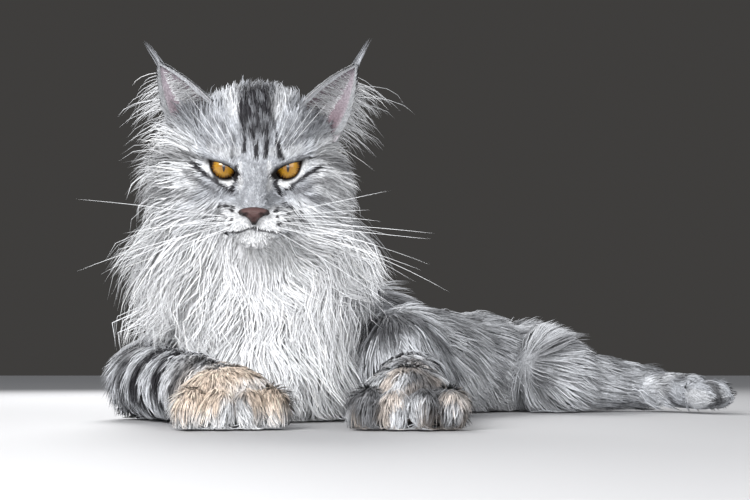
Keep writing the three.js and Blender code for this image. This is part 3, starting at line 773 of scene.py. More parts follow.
def makeNose(material):
    reach, drop = noseTip["reach"], noseTip["drop"]
    wide = egg((0, -reach - 0.8, 2.4 - drop), noseShape["wide"], 2)
    low = limb((0, -reach + 0.8, -drop), (0, -reach + 0.9, -drop - 5.2), 4.9, 1.7, 2)
    nostril = np.array(noseShape["nostril"])

    def field(p):
        a, b = oneDistance(wide, p), oneDistance(low, p)
        near = np.maximum(2.4 - np.abs(a - b), 0) / 2.4
        out = np.minimum(a, b) - near * near * 0.6
        spot = mirrored(p) - nostril
        out = out + 2.6 * np.exp(-nostrilReach(spot, noseShape["dent"]) ** 2)
        wing = np.abs(spot[:, 2] - 2.0 + 0.1 * spot[:, 0] ** 2)
        out -= 0.35 * np.exp(-(wing / 0.9) ** 2) * (np.abs(p[:, 0]) > 2)
        return out + 0.9 * np.exp(-(p[:, 0] / 0.55) ** 2) * smooth(-28, -32, p[:, 2])

    ball = bmesh.new()
    bmesh.ops.create_icosphere(ball, subdivisions=6, radius=1.0)
    middle = np.array([0, -reach - 0.6, -drop + 0.4])
    points = np.array([v.co for v in ball.verts]) * np.array(noseShape["start"]) + middle
    for _ in range(noseShape["rounds"]):
        value = field(points)
        points = points - np.clip(value, -1.5, 1.5)[:, None] * slopeOf(field, points, value, 0.2) * 0.8
    for v, p in zip(ball.verts, fromHead(points) * mm):
        v.co = p
    mesh = bpy.data.meshes.new("nose_leather")
    ball.to_mesh(mesh)
    ball.free()
    piece = placeMesh("nose_leather", mesh, material)
    # The nostrils are painted dark: painted shade in their holes, with the leather's own dark rim round them.
    hollow = np.exp(-nostrilReach(mirrored(points) - nostril, noseShape["shade"]) ** 2 * 1.6)
    edge = smooth(-38.4, -36.6, points[:, 1])
    sideways = smooth(-4.0, -0.8, np.abs(points[:, 0]) - 0.95 * (points[:, 2] + 36.5))
    shade = np.clip(np.maximum(np.maximum(edge, sideways * 0.9), hollow), 0, 1)
    setColours(piece, mix(colour("nose", len(points)), colour("rim", len(points)), shade[:, None]))
    smoothShade(piece)
    return piece


# The left ear's corners and what bends its edges. cup is its depth, and sunk its length under the skin.
ear = {
    "inner": (24, 24, 37), "outer": (60, 34, 23), "tip": (71, 52, 72), "innerBend": (46, 37, 62),
    "outerBend": (72, 44, 42), "cup": 19, "thick": (3.0, 1.3), "grid": 30, "sunk": 0.16,
}


def earPoint(u, v):
    # A place on the middle of the left ear: u goes from -1 at its inner edge to 1 at its outer one, and v from
    # 0 at its root to 1 at its tip.
    inner, outer, tip = (np.array(ear[key], float) for key in ("inner", "outer", "tip"))
    innerBend, outerBend = np.array(ear["innerBend"], float), np.array(ear["outerBend"], float)
    back = unit(np.cross(tip - inner, outer - inner))
    v = v[:, None]
    spread = ((u + 1) / 2)[:, None]
    p = mix(bow(inner, innerBend, tip, v), bow(outer, outerBend, tip, v), spread)
    depth = ear["cup"] * (1 - (2 * spread - 1) ** 2) * np.maximum(0, 1 - v) ** 0.8
    return p + back * depth


def earAcross(u, v, step):
    return earPoint(u + step, v) - earPoint(u - step, v)


def earUp(u, v, step):
    return earPoint(u, v + step) - earPoint(u, v - step)


def earNormal(u, v):
    return unit(np.cross(earAcross(u, v, 0.01), earUp(u, v, 0.01)))


def makeEars(material):
    n = ear["grid"]
    u, v = (a.ravel() for a in np.meshgrid(np.linspace(-1, 1, n + 1), np.linspace(-ear["sunk"], 0.97, n + 1)))
    middle, normal = earPoint(u, v), earNormal(u, v)
    edge = np.sqrt(np.clip(1 - np.abs(u) ** 6, 0.05, 1))
    thick = np.interp(v, [0, 1], ear["thick"]) / 2 * edge
    points = np.concatenate([middle + normal * thick[:, None], middle - normal * thick[:, None]])
    count = (n + 1) ** 2
    faces = []
    for row in range(n):
        for k in range(n):
            a = row * (n + 1) + k
            b, c, d = a + 1, a + n + 2, a + n + 1
            faces += [(a, b, c, d), (count + a, count + d, count + c, count + b)]
    rim = list(range(n)) + [row * (n + 1) + n for row in range(n)]
    rim += [n * (n + 1) + k for k in range(n, 0, -1)] + [row * (n + 1) for row in range(n, 0, -1)]
    for a, b in zip(rim, rim[1:] + rim[:1]):
        faces.append((a, count + a, count + b, b))
    bothFaces, bothPoints = [], []
    for side in (1, -1):
        start = len(bothPoints) * len(points)
        bothPoints.append(fromHead(points * np.array([side, 1, 1])))
        bothFaces += [tuple(start + i for i in (f if side > 0 else f[::-1])) for f in faces]
    piece = meshObject("ears", np.concatenate(bothPoints), bothFaces, material)
    turnFacesOut(piece)
    inside = np.concatenate([np.ones(count), np.zeros(count)])
    edgeTone = smooth(0.72, 0.98, np.abs(np.concatenate([u, u])))
    # Deep in the cup towards its root the inner face gets a painted shade, darker and a little redder.
    deep = smooth(0.75, 0.1, np.concatenate([v, v])) * (1 - edgeTone)
    tone = mix(colour("silver", 2 * count) * 0.8, colour("earSkin", 2 * count), inside[:, None])
    tone = mix(tone, tone * np.array([0.5, 0.36, 0.38]), (deep * inside * 0.75)[:, None])
    tone = mix(tone, colour("white", 2 * count) * 0.75, (edgeTone * 0.35)[:, None])
    setColours(piece, np.concatenate([tone, tone]))
    smoothShade(piece)
    return piece


# The coat. Tufts are three-sided tapers that start in the skin, follow the lie of the hair over the forms and
# draw together towards their tips in clumps.
def trianglesOf(piece):
    mesh = piece.data
    mesh.calc_loop_triangles()
    corners = np.empty(len(mesh.loop_triangles) * 3, int)
    mesh.loop_triangles.foreach_get("vertices", corners)
    loops = np.empty(len(mesh.loop_triangles) * 3, int)
    mesh.loop_triangles.foreach_get("loops", loops)
    return corners.reshape(-1, 3), loops.reshape(-1, 3)


def unwrapSkin(piece):
    bpy.context.view_layer.objects.active = piece
    piece.select_set(True)
    bpy.ops.object.mode_set(mode="EDIT")
    bpy.ops.mesh.select_all(action="SELECT")
    bpy.ops.uv.smart_project(angle_limit=math.radians(80), island_margin=0.002)
    bpy.ops.object.mode_set(mode="OBJECT")
    piece.select_set(False)
    piece.data.uv_layers[0].name = "OFBake"


class skinMap:
    # Where hair can grow: the skin's triangles with their areas, zones and places on the unwrap.
    def __init__(self, piece):
        self.corners, loops = trianglesOf(piece)
        self.points = meshPoints(piece)
        uv = np.empty(len(piece.data.loops) * 2)
        piece.data.uv_layers["OFBake"].data.foreach_get("uv", uv)
        self.uv = uv.reshape(-1, 2)[loops]
        tri = self.points[self.corners]
        cross = np.cross(tri[:, 1] - tri[:, 0], tri[:, 2] - tri[:, 0])
        self.area = np.linalg.norm(cross, axis=1) / 2
        self.normal = unit(cross)
        self.middle = tri.mean(axis=1)
        self.weights = zoneWeights(self.middle, zoneSoftness["close"])

    def scatter(self, count, density, draw):
        chance = self.area * density
        picked = draw.choice(len(chance), size=count, p=chance / chance.sum())
        a, b = draw.random(count), draw.random(count)
        flip = a + b > 1
        a[flip], b[flip] = 1 - a[flip], 1 - b[flip]
        share = np.stack([1 - a - b, a, b], axis=1)[:, :, None]
        return (self.points[self.corners[picked]] * share).sum(axis=1), (self.uv[picked] * share).sum(axis=1)


noseHeart = np.array([0, -34, -24.0])


def faceLie(local):
    way = local - noseHeart
    way[:, 1] += 6
    way = unit(way)
    for side in (-1, 1):
        away = local - np.array([side * 22.4, -2, 0])
        near = np.exp(-((np.linalg.norm(away[:, [0, 2]], axis=1) / 15) ** 2))[:, None]
        way = way + 1.6 * near * unit(away * np.array([1, 0.2, 1]))
    cheek = smooth(24, 46, np.abs(local[:, 0]))[:, None] * smooth(22, -8, local[:, 2])[:, None]
    count = len(local)
    hang = np.stack([0.5 * np.sign(local[:, 0]), np.full(count, 0.2), np.full(count, -0.75)], axis=1)
    return unit(way + cheek * hang) @ headTurn.T


def neckLie(points, out):
    x, y, z = points.T
    front = smooth(20, -25, y)
    sideways, backwards = out[:, 0] * 0.6 + 0.08, out[:, 1] * 0.35 + 0.25 * (1 - front)
    way = np.stack([sideways, backwards, np.full(len(points), -0.85)], axis=1)
    way[:, 0] += 0.75 * ripple(points, 70, 61) + 0.35 * ripple(points, 24, 62)
    back = smooth(5, 40, y)[:, None]
    return unit(mix(way, np.array([0.15, 0.85, -0.45]), back))


# How much longer the coat grows and how far it stands off round the head, in millimetres and degrees. bib is
# the coat's whole length there, and rightShare the cheek's share on the picture's right.
mane = {
    "cheek": 34, "underEar": 24, "crown": 5, "bib": 58, "throat": 18, "cheekLift": 34, "crownLift": 34,
    "sideLift": 28, "bibLift": 4, "rightShare": 0.62,
}


def hairFacts(points, out, weights):
    # The coat's length, lie and lift at each root, blended between the forms that it grows from.
    length = weights @ np.array([form["hair"] for form in forms], float)
    way = np.zeros_like(points)
    for i, form in enumerate(forms):
        if form.get("lie") is not None:
            way += weights[:, i:i + 1] * np.array(form["lie"], float)
    trunk = zoneShare(weights, "chest", "belly", "rump")[:, None]
    way += trunk * np.stack([out[:, 0] * 0.35, out[:, 1] * 0.2, -0.55 * (1 - np.abs(out[:, 2]))], axis=1)
    bib = zoneShare(weights, "chest") * smooth(30, -8, points[:, 1])
    way = mix(way, np.array([0.05, -0.25, -1.0]) + 0.5 * out * np.array([1, 0.6, 0]), bib[:, None])
    length = mix(length, mane["bib"], bib)
    neck, onFace = zoneShare(weights, "neck"), zoneShare(weights, "face")
    local = toHead(points)
    aside, behind = smooth(20, 44, np.abs(local[:, 0])), smooth(-4, 22, local[:, 1])
    low, high = smooth(26, 8, local[:, 2]), smooth(34, 44, local[:, 2])
    cheek = onFace * aside * behind * mix(1.0, mane["rightShare"], smooth(0, 20, local[:, 0]))
    crown = onFace * high * smooth(-6, 6, local[:, 1])
    length += cheek * mix(mane["underEar"], mane["cheek"], low) + crown * mane["crown"]
    length += neck * mane["throat"] * smooth(15, -25, points[:, 1])
    lift = cheek * mane["cheekLift"] + crown * mane["crownLift"]
    lift += neck * (mane["sideLift"] * smooth(0.2, 0.8, np.abs(out[:, 0])) + mane["bibLift"])
    way += neck[:, None] * neckLie(points, out)
    way += onFace[:, None] * faceLie(local) * 1.2
    way = way - out * (way * out).sum(axis=1, keepdims=True)
    return length, unit(way), lift


# How deep a hair starts under the skin, the length of its waves, and how far its root keeps clear of the skin
# and of the floor, with what its tip adds to that, in millimetres.
hairWay = {"under": 1.2, "wave": 58.0, "clear": 0.5, "tipClear": 0.6, "floor": 0.7, "tipFloor": 0.9}


def growHair(root, out, lie, length, draw, rings, lift, droop, curl):
    # The points of each hair's middle line, one more than its rings, pushed clear of the skin and the floor.
    count = len(root)
    points = [root - out * hairWay["under"]]
    place = root.copy()
    rise = np.radians(np.clip(lift * draw.normal(1, 0.25, count), 4, 80))
    phase = draw.uniform(0, 6.28, count) * 0.3 + ripple(root, 45, 71) * 3.0
    side = unit(np.cross(lie, out))
    fall = 1.25 - 0.75 * smooth(30, 70, np.degrees(rise))
    for k in range(rings):
        share = (k + 0.5) / rings
        tilt = rise * (1 - share) ** fall - math.radians(2) * share
        way = lie * np.cos(tilt)[:, None] + out * np.sin(tilt)[:, None]
        bend = curl * np.sin(2 * math.pi * share * length / hairWay["wave"] + phase) * (0.3 + share)
        way = way + side * bend[:, None] - up * droop * share ** 1.5
        place = place + unit(way) * (length / rings)[:, None]
        value = skinField(place)
        need = hairWay["clear"] + hairWay["tipClear"] * share - value
        pushed = need > 0
        if pushed.any():
            place[pushed] += fieldSlope(place[pushed], value[pushed]) * need[pushed][:, None]
        place[:, 2] = np.maximum(place[:, 2], hairWay["floor"] + hairWay["tipFloor"] * share)
        points.append(place.copy())
    return np.stack(points, axis=1)


def clump(lines, draw, size, pull):
    # Draws hairs towards the nearest of some guide hairs, more towards the tip.
    count = len(lines)
    guides = draw.choice(count, max(1, int(count / size)), replace=False)
    tree = KDTree(len(guides))
    for i, g in enumerate(guides):
        tree.insert(Vector(lines[g, 0]), i)
    tree.balance()
    nearest = np.array([guides[tree.find(Vector(p))[1]] for p in lines[:, 0]])
    share = np.linspace(0, 1, lines.shape[1]) ** 1.2
    strength = pull * share[None, :, None] * draw.uniform(0.7, 1.0, (count, 1, 1))
    return lines + (lines[nearest] - lines) * strength, nearest


# soft is how far a hair's shading follows the body under it, and patch the size of its place on the unwrap.
# taper is its width along its length.
hairForm = {"soft": 0.75, "patch": 0.003, "taperAt": [0, 0.35, 0.8, 1], "taper": [0.75, 1, 0.62, 0.25]}


def hairFaces(count, rings):
    # The corners of every triangle: a closed root, two triangles a side between rings, and the tip.
    faces = [(0, 1, 2)]
    for k in range(rings - 1):
        for j in range(3):
            a, b = k * 3 + j, k * 3 + (j + 1) % 3
            faces += [(a, b + 3, b), (a, a + 3, b + 3)]
    faces += [((rings - 1) * 3 + j, rings * 3, (rings - 1) * 3 + (j + 1) % 3) for j in range(3)]
    return (np.array(faces)[None] + (np.arange(count) * (rings * 3 + 1))[:, None, None]).reshape(-1)


def hairMesh(name, lines, out, width, uv, tone, material, flat=0.55):
    # Turns hair lines into one mesh of tapered three-sided hairs, each on its own small patch of the unwrap.
    count, rings = len(lines), lines.shape[1] - 1
    tangent = unit(np.gradient(lines, axis=1))
    side = unit(np.cross(tangent, out[:, None, :] + 1e-4))
    over = np.cross(side, tangent)
    taper = np.interp(np.arange(rings) / rings, hairForm["taperAt"], hairForm["taper"])
    half = width[:, None] * taper[None, :] / 2
    body, facing = [], []
    for turn in (90, 210, 330):
        around = side * math.cos(math.radians(turn)) + over * math.sin(math.radians(turn))
        facing.append(mix(around[:, :rings], out[:, None, :], hairForm["soft"]))
        body.append(
            lines[:, :rings]
            + side[:, :rings] * (half * math.cos(math.radians(turn)))[:, :, None]
            + over[:, :rings] * (half * flat * math.sin(math.radians(turn)))[:, :, None]
        )
    points = np.concatenate([np.stack(body, axis=2).reshape(count, rings * 3, 3), lines[:, rings:]], axis=1)
    normals = np.concatenate([np.stack(facing, axis=2).reshape(count, rings * 3, 3), out[:, None, :]], axis=1)
    index = hairFaces(count, rings)
    total = len(index) // 3
    mesh = bpy.data.meshes.new(name)
    mesh.vertices.add(points.shape[0] * points.shape[1])
    mesh.vertices.foreach_set("co", (points * mm).ravel())
    mesh.loops.add(len(index))
    mesh.loops.foreach_set("vertex_index", index)
    mesh.polygons.add(total)
    mesh.polygons.foreach_set("loop_start", np.arange(total) * 3)
    mesh.polygons.foreach_set("use_smooth", [True] * total)
    ring = np.append(np.repeat(np.arange(rings), 3), rings) / rings - 0.5
    corner = np.append(np.tile([0, 0.5, 1.0], rings), 0.5) - 0.5
    spots = uv[:, None, :] + hairForm["patch"] * np.stack([ring, corner], axis=1)[None]
    layer = mesh.uv_layers.new(name="OFBake")
    layer.data.foreach_set("uv", np.clip(spots.reshape(-1, 2)[index], 0, 1).ravel())
    mesh.update(calc_edges=True)
    piece = placeMesh(name, mesh, material)
    setColours(piece, tone.reshape(-1, 3))
    layer = mesh.attributes.new("custom_normal", "FLOAT_VECTOR", "POINT")
    layer.data.foreach_set("vector", unit(normals).ravel())
    print(name, count, "tufts", total, "triangles")
    return piece


def hairTone(rootTone, rings, draw, tipTone, jitter=0.1, depth=0.8):
    # Colours along each hair: the coat's own at the root, running to the tip's, with a painted shade that
    # darkens the root to depth and fades out by 0.6 of the length.
    count = len(rootTone)
    stations = np.append(np.repeat(np.arange(rings), 3), rings) / rings
    share = smooth(0.35, 1.0, stations)[None, :, None]
    # Painted shade darkens the roots, where the coat lies deep; the jitter varies each hair's tone at random.
    rootShadeAndJitter = draw.normal(1, jitter, (count, 1, 1)) * mix(depth, 1, smooth(0, 0.6, stations))[None, :, None]
    return np.clip(mix(rootTone[:, None, :], tipTone[:, None, :], share) * rootShadeAndJitter, 0.004, 0.95)


def onCoat(local):
    # Where hair may start: outside the eyes and the nose leather, in the head's frame.
    lids = insideOutline(grownOutline(lidOutline(), 1.3), mirrored(local[:, [0, 2]])) & (local[:, 1] < 12)
    leather = np.linalg.norm((local - np.array([0, -37, -29])) / np.array([9.3, 7, 6.3]), axis=1) <= 1
    return ~lids & ~leather


def coatPiece(facts, skin, material, draw):
    share = zoneShare(skin.weights, *facts["zones"])
    under = (skin.normal[:, 2] < -0.6) & (skin.middle[:, 2] < 6)
    chance = np.where(under, 0, np.where(share > 0.2, share, 0))
    if "density" in facts:
        chance = chance * facts["density"](skin.middle)
    root, uv = skin.scatter(facts["count"], chance, draw)
    keep = onCoat(toHead(root))
    root, uv = root[keep], uv[keep]
    count, rings = len(root), facts["rings"]
    out = fieldSlope(root, skinField(root))
    weights = zoneWeights(root, zoneSoftness["wide"])
    length, lie, stand = hairFacts(root, out, weights)
    if "shorten" in facts:
        length = facts["shorten"](root, length)
    length = length * np.clip(draw.normal(1, 0.14, count), 0.6, 1.4)
    sway = draw.normal(0, 0.12, count)[:, None]
    lie = unit(lie + sway * np.cross(lie, out))
    lift = facts["lift"] + stand
    lines = growHair(root, out, lie, length, draw, rings, lift, facts["droop"], facts["curl"])
    lines, leader = clump(lines, draw, *facts["clumps"])
    middle = root + lie * np.minimum(length, 14)[:, None] * 0.4
    dark, pale, warm = markings(middle, zoneWeights(middle, zoneSoftness["wide"]))
    rootTone = coatColour(dark, pale, warm)
    clumpBright = draw.normal(1, 0.09, count)[leader][:, None]
    ticked = np.where(draw.random(count) < 0.3, draw.uniform(0.2, 0.8, count), 0.03)
    tipTone = mix(rootTone, colour("dark", count), ((1 - pale) * ticked)[:, None])
    # The roots get a painted shade, as dark as depth says.
    tone = hairTone(rootTone * clumpBright, rings, draw, tipTone, 0.15, facts.get("depth", 0.75))
    wide = np.clip(draw.normal(1, 0.2, count), 0.5, 1.6) * facts["width"] * np.clip(length / 14, 0.55, 1.0)
    # Under the chin the shading of the hair is turned up and to the front.
    hangs = zoneShare(weights, "neck", "face") * smooth(0.1, -0.5, out[:, 2]) * smooth(0, -20, root[:, 1])
    facing = out + hangs[:, None] * np.array([0, -0.7, 0.8]) + 0.22 * draw.normal(size=(count, 3))[leader]
    return hairMesh(facts["name"], lines, unit(facing), wide, uv, tone, material)


def earPlace(u, v, face, lift):
    # A place off the left ear, on its inner face (1), its back (-1) or its middle (0).
    thick = np.interp(v, [0, 1], ear["thick"])[:, None] / 2
    return earPoint(u, v) + face * earNormal(u, v) * (thick + lift)


def earFur(draw):
    # Short fur over the back and the rim.
    count = 3200
    u, v = draw.uniform(-1, 1, count), draw.uniform(-0.05, 0.96, count)
    rim = draw.random(count) < 0.22
    u = np.where(rim, np.sign(u) * draw.uniform(0.86, 1.0, count), u * 0.9)
    face = np.where(rim, 1.0, -1.0)[:, None]
    root = earPlace(u, v, face, -0.2)
    out = face * earNormal(u, v)
    lie = unit(unit(earUp(u, v, 0.01)) + 0.5 * unit(earAcross(u, v, 0.01)) * np.sign(u)[:, None])
    length = mix(8.5, 4.0, np.clip(v, 0, 1)) * draw.uniform(0.7, 1.2, count)
    steps = np.linspace(0, 1, 3)[None, :, None]
    lift = np.sin(math.pi * steps) + 0.1
    lines = root[:, None] + lie[:, None] * length[:, None, None] * steps + out[:, None] * lift
    tone = mix(colour("silver", count), colour("white", count), draw.uniform(0.2, 0.8, (count, 1)))
    tone = tone * np.where(rim & (u > 0), 0.45, 1.0)[:, None]
    tip = mix(tone, colour("dark", count), np.where(rim, 0.05, 0.5)[:, None])
    return {"kind": "short", "u": u, "v": v, "lines": lines, "out": out, "root": tone, "tip": tip,
            "width": np.full(count, 0.8)}


def earFans(draw):
    # Long pale hairs that rise from the inner edge and sweep out across the cup.
    count = 230
    u = draw.uniform(-1.0, -0.25, count)
    v = draw.beta(1.1, 1.6, count) * 0.85
    root = earPlace(u, v, 1.0, -0.3)
    out = earNormal(u, v)
    length = (mix(74, 30, v) * draw.uniform(0.55, 1.15, count))[:, None, None]
    fan = draw.normal(0.40, 0.26, count)[:, None, None]
    steps = np.linspace(0, 1, 6)[None, :, None]
    lines = (
        root[:, None]
        + unit(earAcross(u, v, 0.02))[:, None] * (length * (0.5 * steps + 0.45 * steps ** 1.5))
        + unit(earUp(u, v, 0.01))[:, None] * (length * fan) * steps * (1.25 - 0.5 * steps)
        + out[:, None] * length * 0.22 * np.sin(math.pi * 0.75 * steps)
        + np.array([0.0, 0.0, -0.10]) * length * steps ** 3
    )
    lines, _ = clump(lines, draw, 4, 0.35)
    tone = colour("white", count) * draw.uniform(0.8, 1.1, (count, 1))
    return {"kind": "long", "u": u, "v": v, "lines": lines, "out": out, "root": tone, "tip": tone,
            "width": draw.uniform(0.35, 0.6, count)}


def earTuft(draw):
    # The tuft that carries the tip on.
    count = 30
    u, v = draw.uniform(-1, 1, count), draw.uniform(0.86, 0.97, count)
    root = earPlace(u, v, 0.0, 0)
    way = unit(np.array([[0.42, 0.12, 0.9]])) + draw.normal(0, 0.04, (count, 3))
    length = draw.uniform(14, 30, count)[:, None, None]
    steps = np.linspace(0, 1, 5)[None, :, None]
    bend = np.array([0.35, 0, 0.05]) * (length * 0.35 * steps ** 2)
    lines, _ = clump(root[:, None] + way[:, None] * length * steps + bend, draw, 30, 0.75)
    tone = mix(colour("silver", count), colour("dark", count), draw.uniform(0, 0.5, (count, 1)))
    tip = mix(tone, colour("dark", count), 0.6)
    return {"kind": "tip", "u": u, "v": v, "lines": lines, "out": earNormal(u, v), "root": tone, "tip": tip,
            "width": np.full(count, 0.38)}


def earHair(draw, material):
    pieces = []
    for side, name in ((1, "left"), (-1, "right")):
        mirror = np.array([side, 1, 1])
        for makeHair in (earFur, earFans, earTuft):
            facts = makeHair(draw)
            lines, out = facts["lines"], (facts["out"] * mirror) @ headTurn.T
            world = fromHead(lines.reshape(-1, 3) * mirror).reshape(lines.shape)
            tone = hairTone(facts["root"], lines.shape[1] - 1, draw, facts["tip"])
            uv = np.stack([(facts["u"] + 1) / 2, np.clip(facts["v"], 0, 1)], axis=1)
            pieceName = f"coat_ear_{name}_{facts['kind']}"
            pieces.append(hairMesh(pieceName, world, out, facts["width"], uv, tone, material))
    return pieces


whiskerShape = {"rows": 3, "each": 4, "root": 0.42, "brows": 4, "rings": 8}


def strand(root, aim, length, sag):
    steps = np.linspace(0, 1, whiskerShape["rings"] + 1)[:, None]
    return root + aim / np.linalg.norm(aim) * length * steps + sag * length * steps ** 2


def skinSpot(side, x, z):
    # The place on the face's skin at x and z, seen from the front, a little under it.
    return np.array([side * x, frontOfSkin(np.array([[x, z]]), side)[0] + 0.5, z])


def makeWhiskers(draw, material):
    lines, widths = [], []
    for side in (-1, 1):
        for row in range(whiskerShape["rows"]):
            for k in range(whiskerShape["each"]):
                root = skinSpot(side, 9 + 3.6 * k + draw.uniform(-0.6, 0.6), -29.5 - 3.3 * row - 0.3 * k)
                length = draw.uniform(50, 112) * (0.75 + 0.07 * k) * (1.35 if side > 0 else 1.0)
                aim = np.array([side * 1.0, 0.18 - 0.05 * k, 0.12 - 0.22 * row + draw.normal(0, 0.08)])
                sag = np.array([0, 0.32, -0.22 + draw.normal(0, 0.12)]) * 0.5
                lines.append(strand(root, aim, length, sag))
                widths.append(whiskerShape["root"] * draw.uniform(0.75, 1.1))
        for k in range(whiskerShape["brows"]):
            root = skinSpot(side, 13 + 3.4 * k, 12.5 + 0.8 * k)
            aim = np.array([side * (0.25 + 0.13 * k), -0.5, 0.85])
            lines.append(strand(root, aim, draw.uniform(28, 52), np.array([side * 0.2, 0.55, 0.1]) * 0.6))
            widths.append(whiskerShape["root"] * 0.6)
    lines = np.array(lines)
    count = len(lines)
    world = fromHead(lines.reshape(-1, 3)).reshape(lines.shape)
    out = np.tile(headTurn @ np.array([0, -1.0, 0.3]), (count, 1))
    tone = hairTone(colour("white", count), whiskerShape["rings"], draw, colour("white", count), 0.03)
    uv = draw.random((count, 2)) * 0.9 + 0.05
    return hairMesh("whiskers", world, out, np.array(widths), uv, tone, material, flat=1.0)


# Materials.
def nodeMaterial(name):
    material = bpy.data.materials.new(name)
    material.use_nodes = True
    tree = material.node_tree
    return material, tree.nodes, tree.links, tree.nodes["Principled BSDF"]


def makeGrainGroup():
    # Fine streaks over a colour, with the height that goes with them.
    group = bpy.data.node_groups.new("hairGrain", "ShaderNodeTree")
    group.interface.new_socket("Colour", in_out="INPUT", socket_type="NodeSocketColor")
    for name, value in (("Scale", 600.0), ("Amount", 0.25)):
        group.interface.new_socket(name, in_out="INPUT", socket_type="NodeSocketFloat").default_value = value
    group.interface.new_socket("Colour", in_out="OUTPUT", socket_type="NodeSocketColor")
    group.interface.new_socket("Height", in_out="OUTPUT", socket_type="NodeSocketFloat")
    nodes, links = group.nodes, group.links
    entry, leave = nodes.new("NodeGroupInput"), nodes.new("NodeGroupOutput")
    coords, noise = nodes.new("ShaderNodeTexCoord"), nodes.new("ShaderNodeTexNoise")
    noise.inputs["Detail"].default_value = 3
    links.new(coords.outputs["Object"], noise.inputs["Vector"])
    links.new(entry.outputs["Scale"], noise.inputs["Scale"])
    spread = nodes.new("ShaderNodeMapRange")
    spread.inputs["From Min"].default_value, spread.inputs["From Max"].default_value = 0.3, 0.7
    spread.inputs["To Max"].default_value = 1.15
    low = nodes.new("ShaderNodeMath")
    low.operation = "SUBTRACT"
    low.inputs[0].default_value = 1.0
    links.new(entry.outputs["Amount"], low.inputs[1])
    links.new(low.outputs[0], spread.inputs["To Min"])
    links.new(noise.outputs["Fac"], spread.inputs["Value"])
    tint = nodes.new("ShaderNodeMix")
    tint.data_type, tint.blend_type = "RGBA", "MULTIPLY"
    tint.inputs["Factor"].default_value = 1.0
    links.new(entry.outputs["Colour"], tint.inputs[6])
    links.new(spread.outputs["Result"], tint.inputs[7])
    links.new(tint.outputs[2], leave.inputs["Colour"])
    links.new(noise.outputs["Fac"], leave.inputs["Height"])
    return group


def coatedMaterial(name, grain, scale, amount, roughness, specular=0.3, bump=0.0):
    material, nodes, links, shader = nodeMaterial(name)
    tone, streaks = nodes.new("ShaderNodeAttribute"), nodes.new("ShaderNodeGroup")
    tone.attribute_name = "coat"
    streaks.node_tree = grain
    streaks.inputs["Scale"].default_value, streaks.inputs["Amount"].default_value = scale, amount
    links.new(tone.outputs["Color"], streaks.inputs["Colour"])
    links.new(streaks.outputs["Colour"], shader.inputs["Base Color"])
    shader.inputs["Roughness"].default_value = roughness
    shader.inputs["Specular IOR Level"].default_value = specular
    if bump:
        relief = nodes.new("ShaderNodeBump")
        relief.inputs["Distance"].default_value = 0.0006
        relief.inputs["Strength"].default_value = bump
        links.new(streaks.outputs["Height"], relief.inputs["Height"])
        links.new(relief.outputs["Normal"], shader.inputs["Normal"])
    return material


# Sizes are shares of the eyeball's radius. Each stop is a colour from the pupil out to the dark rim.
irisShape = {"radius": 0.80, "pupilWide": 0.085, "pupilTall": 0.36}
irisStops = [
    (0.0, (0.10, 0.030, 0.003)),
    (0.25, (0.28, 0.125, 0.006)),
    (0.6, (0.42, 0.215, 0.012)),
    (0.8, (0.19, 0.08, 0.004)),
    (0.93, (0.012, 0.006, 0.003)),
]


def irisMaterial():
    material, nodes, links, shader = nodeMaterial("amberEye")

    def calc(operation, *values):
        node = nodes.new("ShaderNodeMath")
        node.operation = operation
        for socket, value in zip(node.inputs, values):
            if isinstance(value, (int, float)):
                socket.default_value = value
            else:
                links.new(value, socket)
        return node.outputs[0]

    gaze, split = nodes.new("ShaderNodeAttribute"), nodes.new("ShaderNodeSeparateXYZ")
    gaze.attribute_name = "gaze"
    links.new(gaze.outputs["Vector"], split.inputs[0])
    x, y = split.outputs[0], split.outputs[1]
    radius = calc("SQRT", calc("ADD", calc("MULTIPLY", x, x), calc("MULTIPLY", y, y)))
    share = calc("DIVIDE", radius, irisShape["radius"])
    angle = calc("ARCTAN2", y, x)
    fibre, noise = nodes.new("ShaderNodeCombineXYZ"), nodes.new("ShaderNodeTexNoise")
    links.new(calc("MULTIPLY", calc("SINE", angle), 9.0), fibre.inputs[0])
    links.new(calc("MULTIPLY", calc("COSINE", angle), 9.0), fibre.inputs[1])
    links.new(calc("MULTIPLY", share, 1.6), fibre.inputs[2])
    links.new(fibre.outputs[0], noise.inputs["Vector"])
    noise.inputs["Scale"].default_value = 1.6
    noise.inputs["Detail"].default_value = 4
    streaked = calc("ADD", share, calc("MULTIPLY", calc("SUBTRACT", noise.outputs["Fac"], 0.5), 0.8))
    ramp = nodes.new("ShaderNodeValToRGB")
    links.new(streaked, ramp.inputs["Fac"])
    while len(ramp.color_ramp.elements) < len(irisStops):
        ramp.color_ramp.elements.new(0.5)
    for element, (at, rgb) in zip(ramp.color_ramp.elements, irisStops):
        element.position, element.color = at, (*rgb, 1)
    # The pupil is an upright slit with pointed ends.
    aside = calc("ABSOLUTE", calc("DIVIDE", x, irisShape["pupilWide"]))
    upright = calc("POWER", calc("ABSOLUTE", calc("DIVIDE", y, irisShape["pupilTall"])), 2.0)
    pupil = nodes.new("ShaderNodeMapRange")
    pupil.inputs["From Min"].default_value, pupil.inputs["From Max"].default_value = 1.12, 0.92
    links.new(calc("ADD", aside, upright), pupil.inputs["Value"])
    blend = nodes.new("ShaderNodeMix")
    blend.data_type = "RGBA"
    links.new(pupil.outputs["Result"], blend.inputs["Factor"])
    links.new(ramp.outputs["Color"], blend.inputs[6])
    blend.inputs[7].default_value = (0.004, 0.003, 0.003, 1)
    links.new(blend.outputs[2], shader.inputs["Base Color"])
    shader.inputs["Roughness"].default_value = 0.25
    shader.inputs["Coat Weight"].default_value = 1.0
    shader.inputs["Coat Roughness"].default_value = 0.03
    return material


def floorMaterial():
    material, nodes, links, shader = nodeMaterial("paleFloor")
    shader.inputs["Base Color"].default_value = (0.50, 0.50, 0.51, 1)
    shader.inputs["Roughness"].default_value = 0.7
    return material


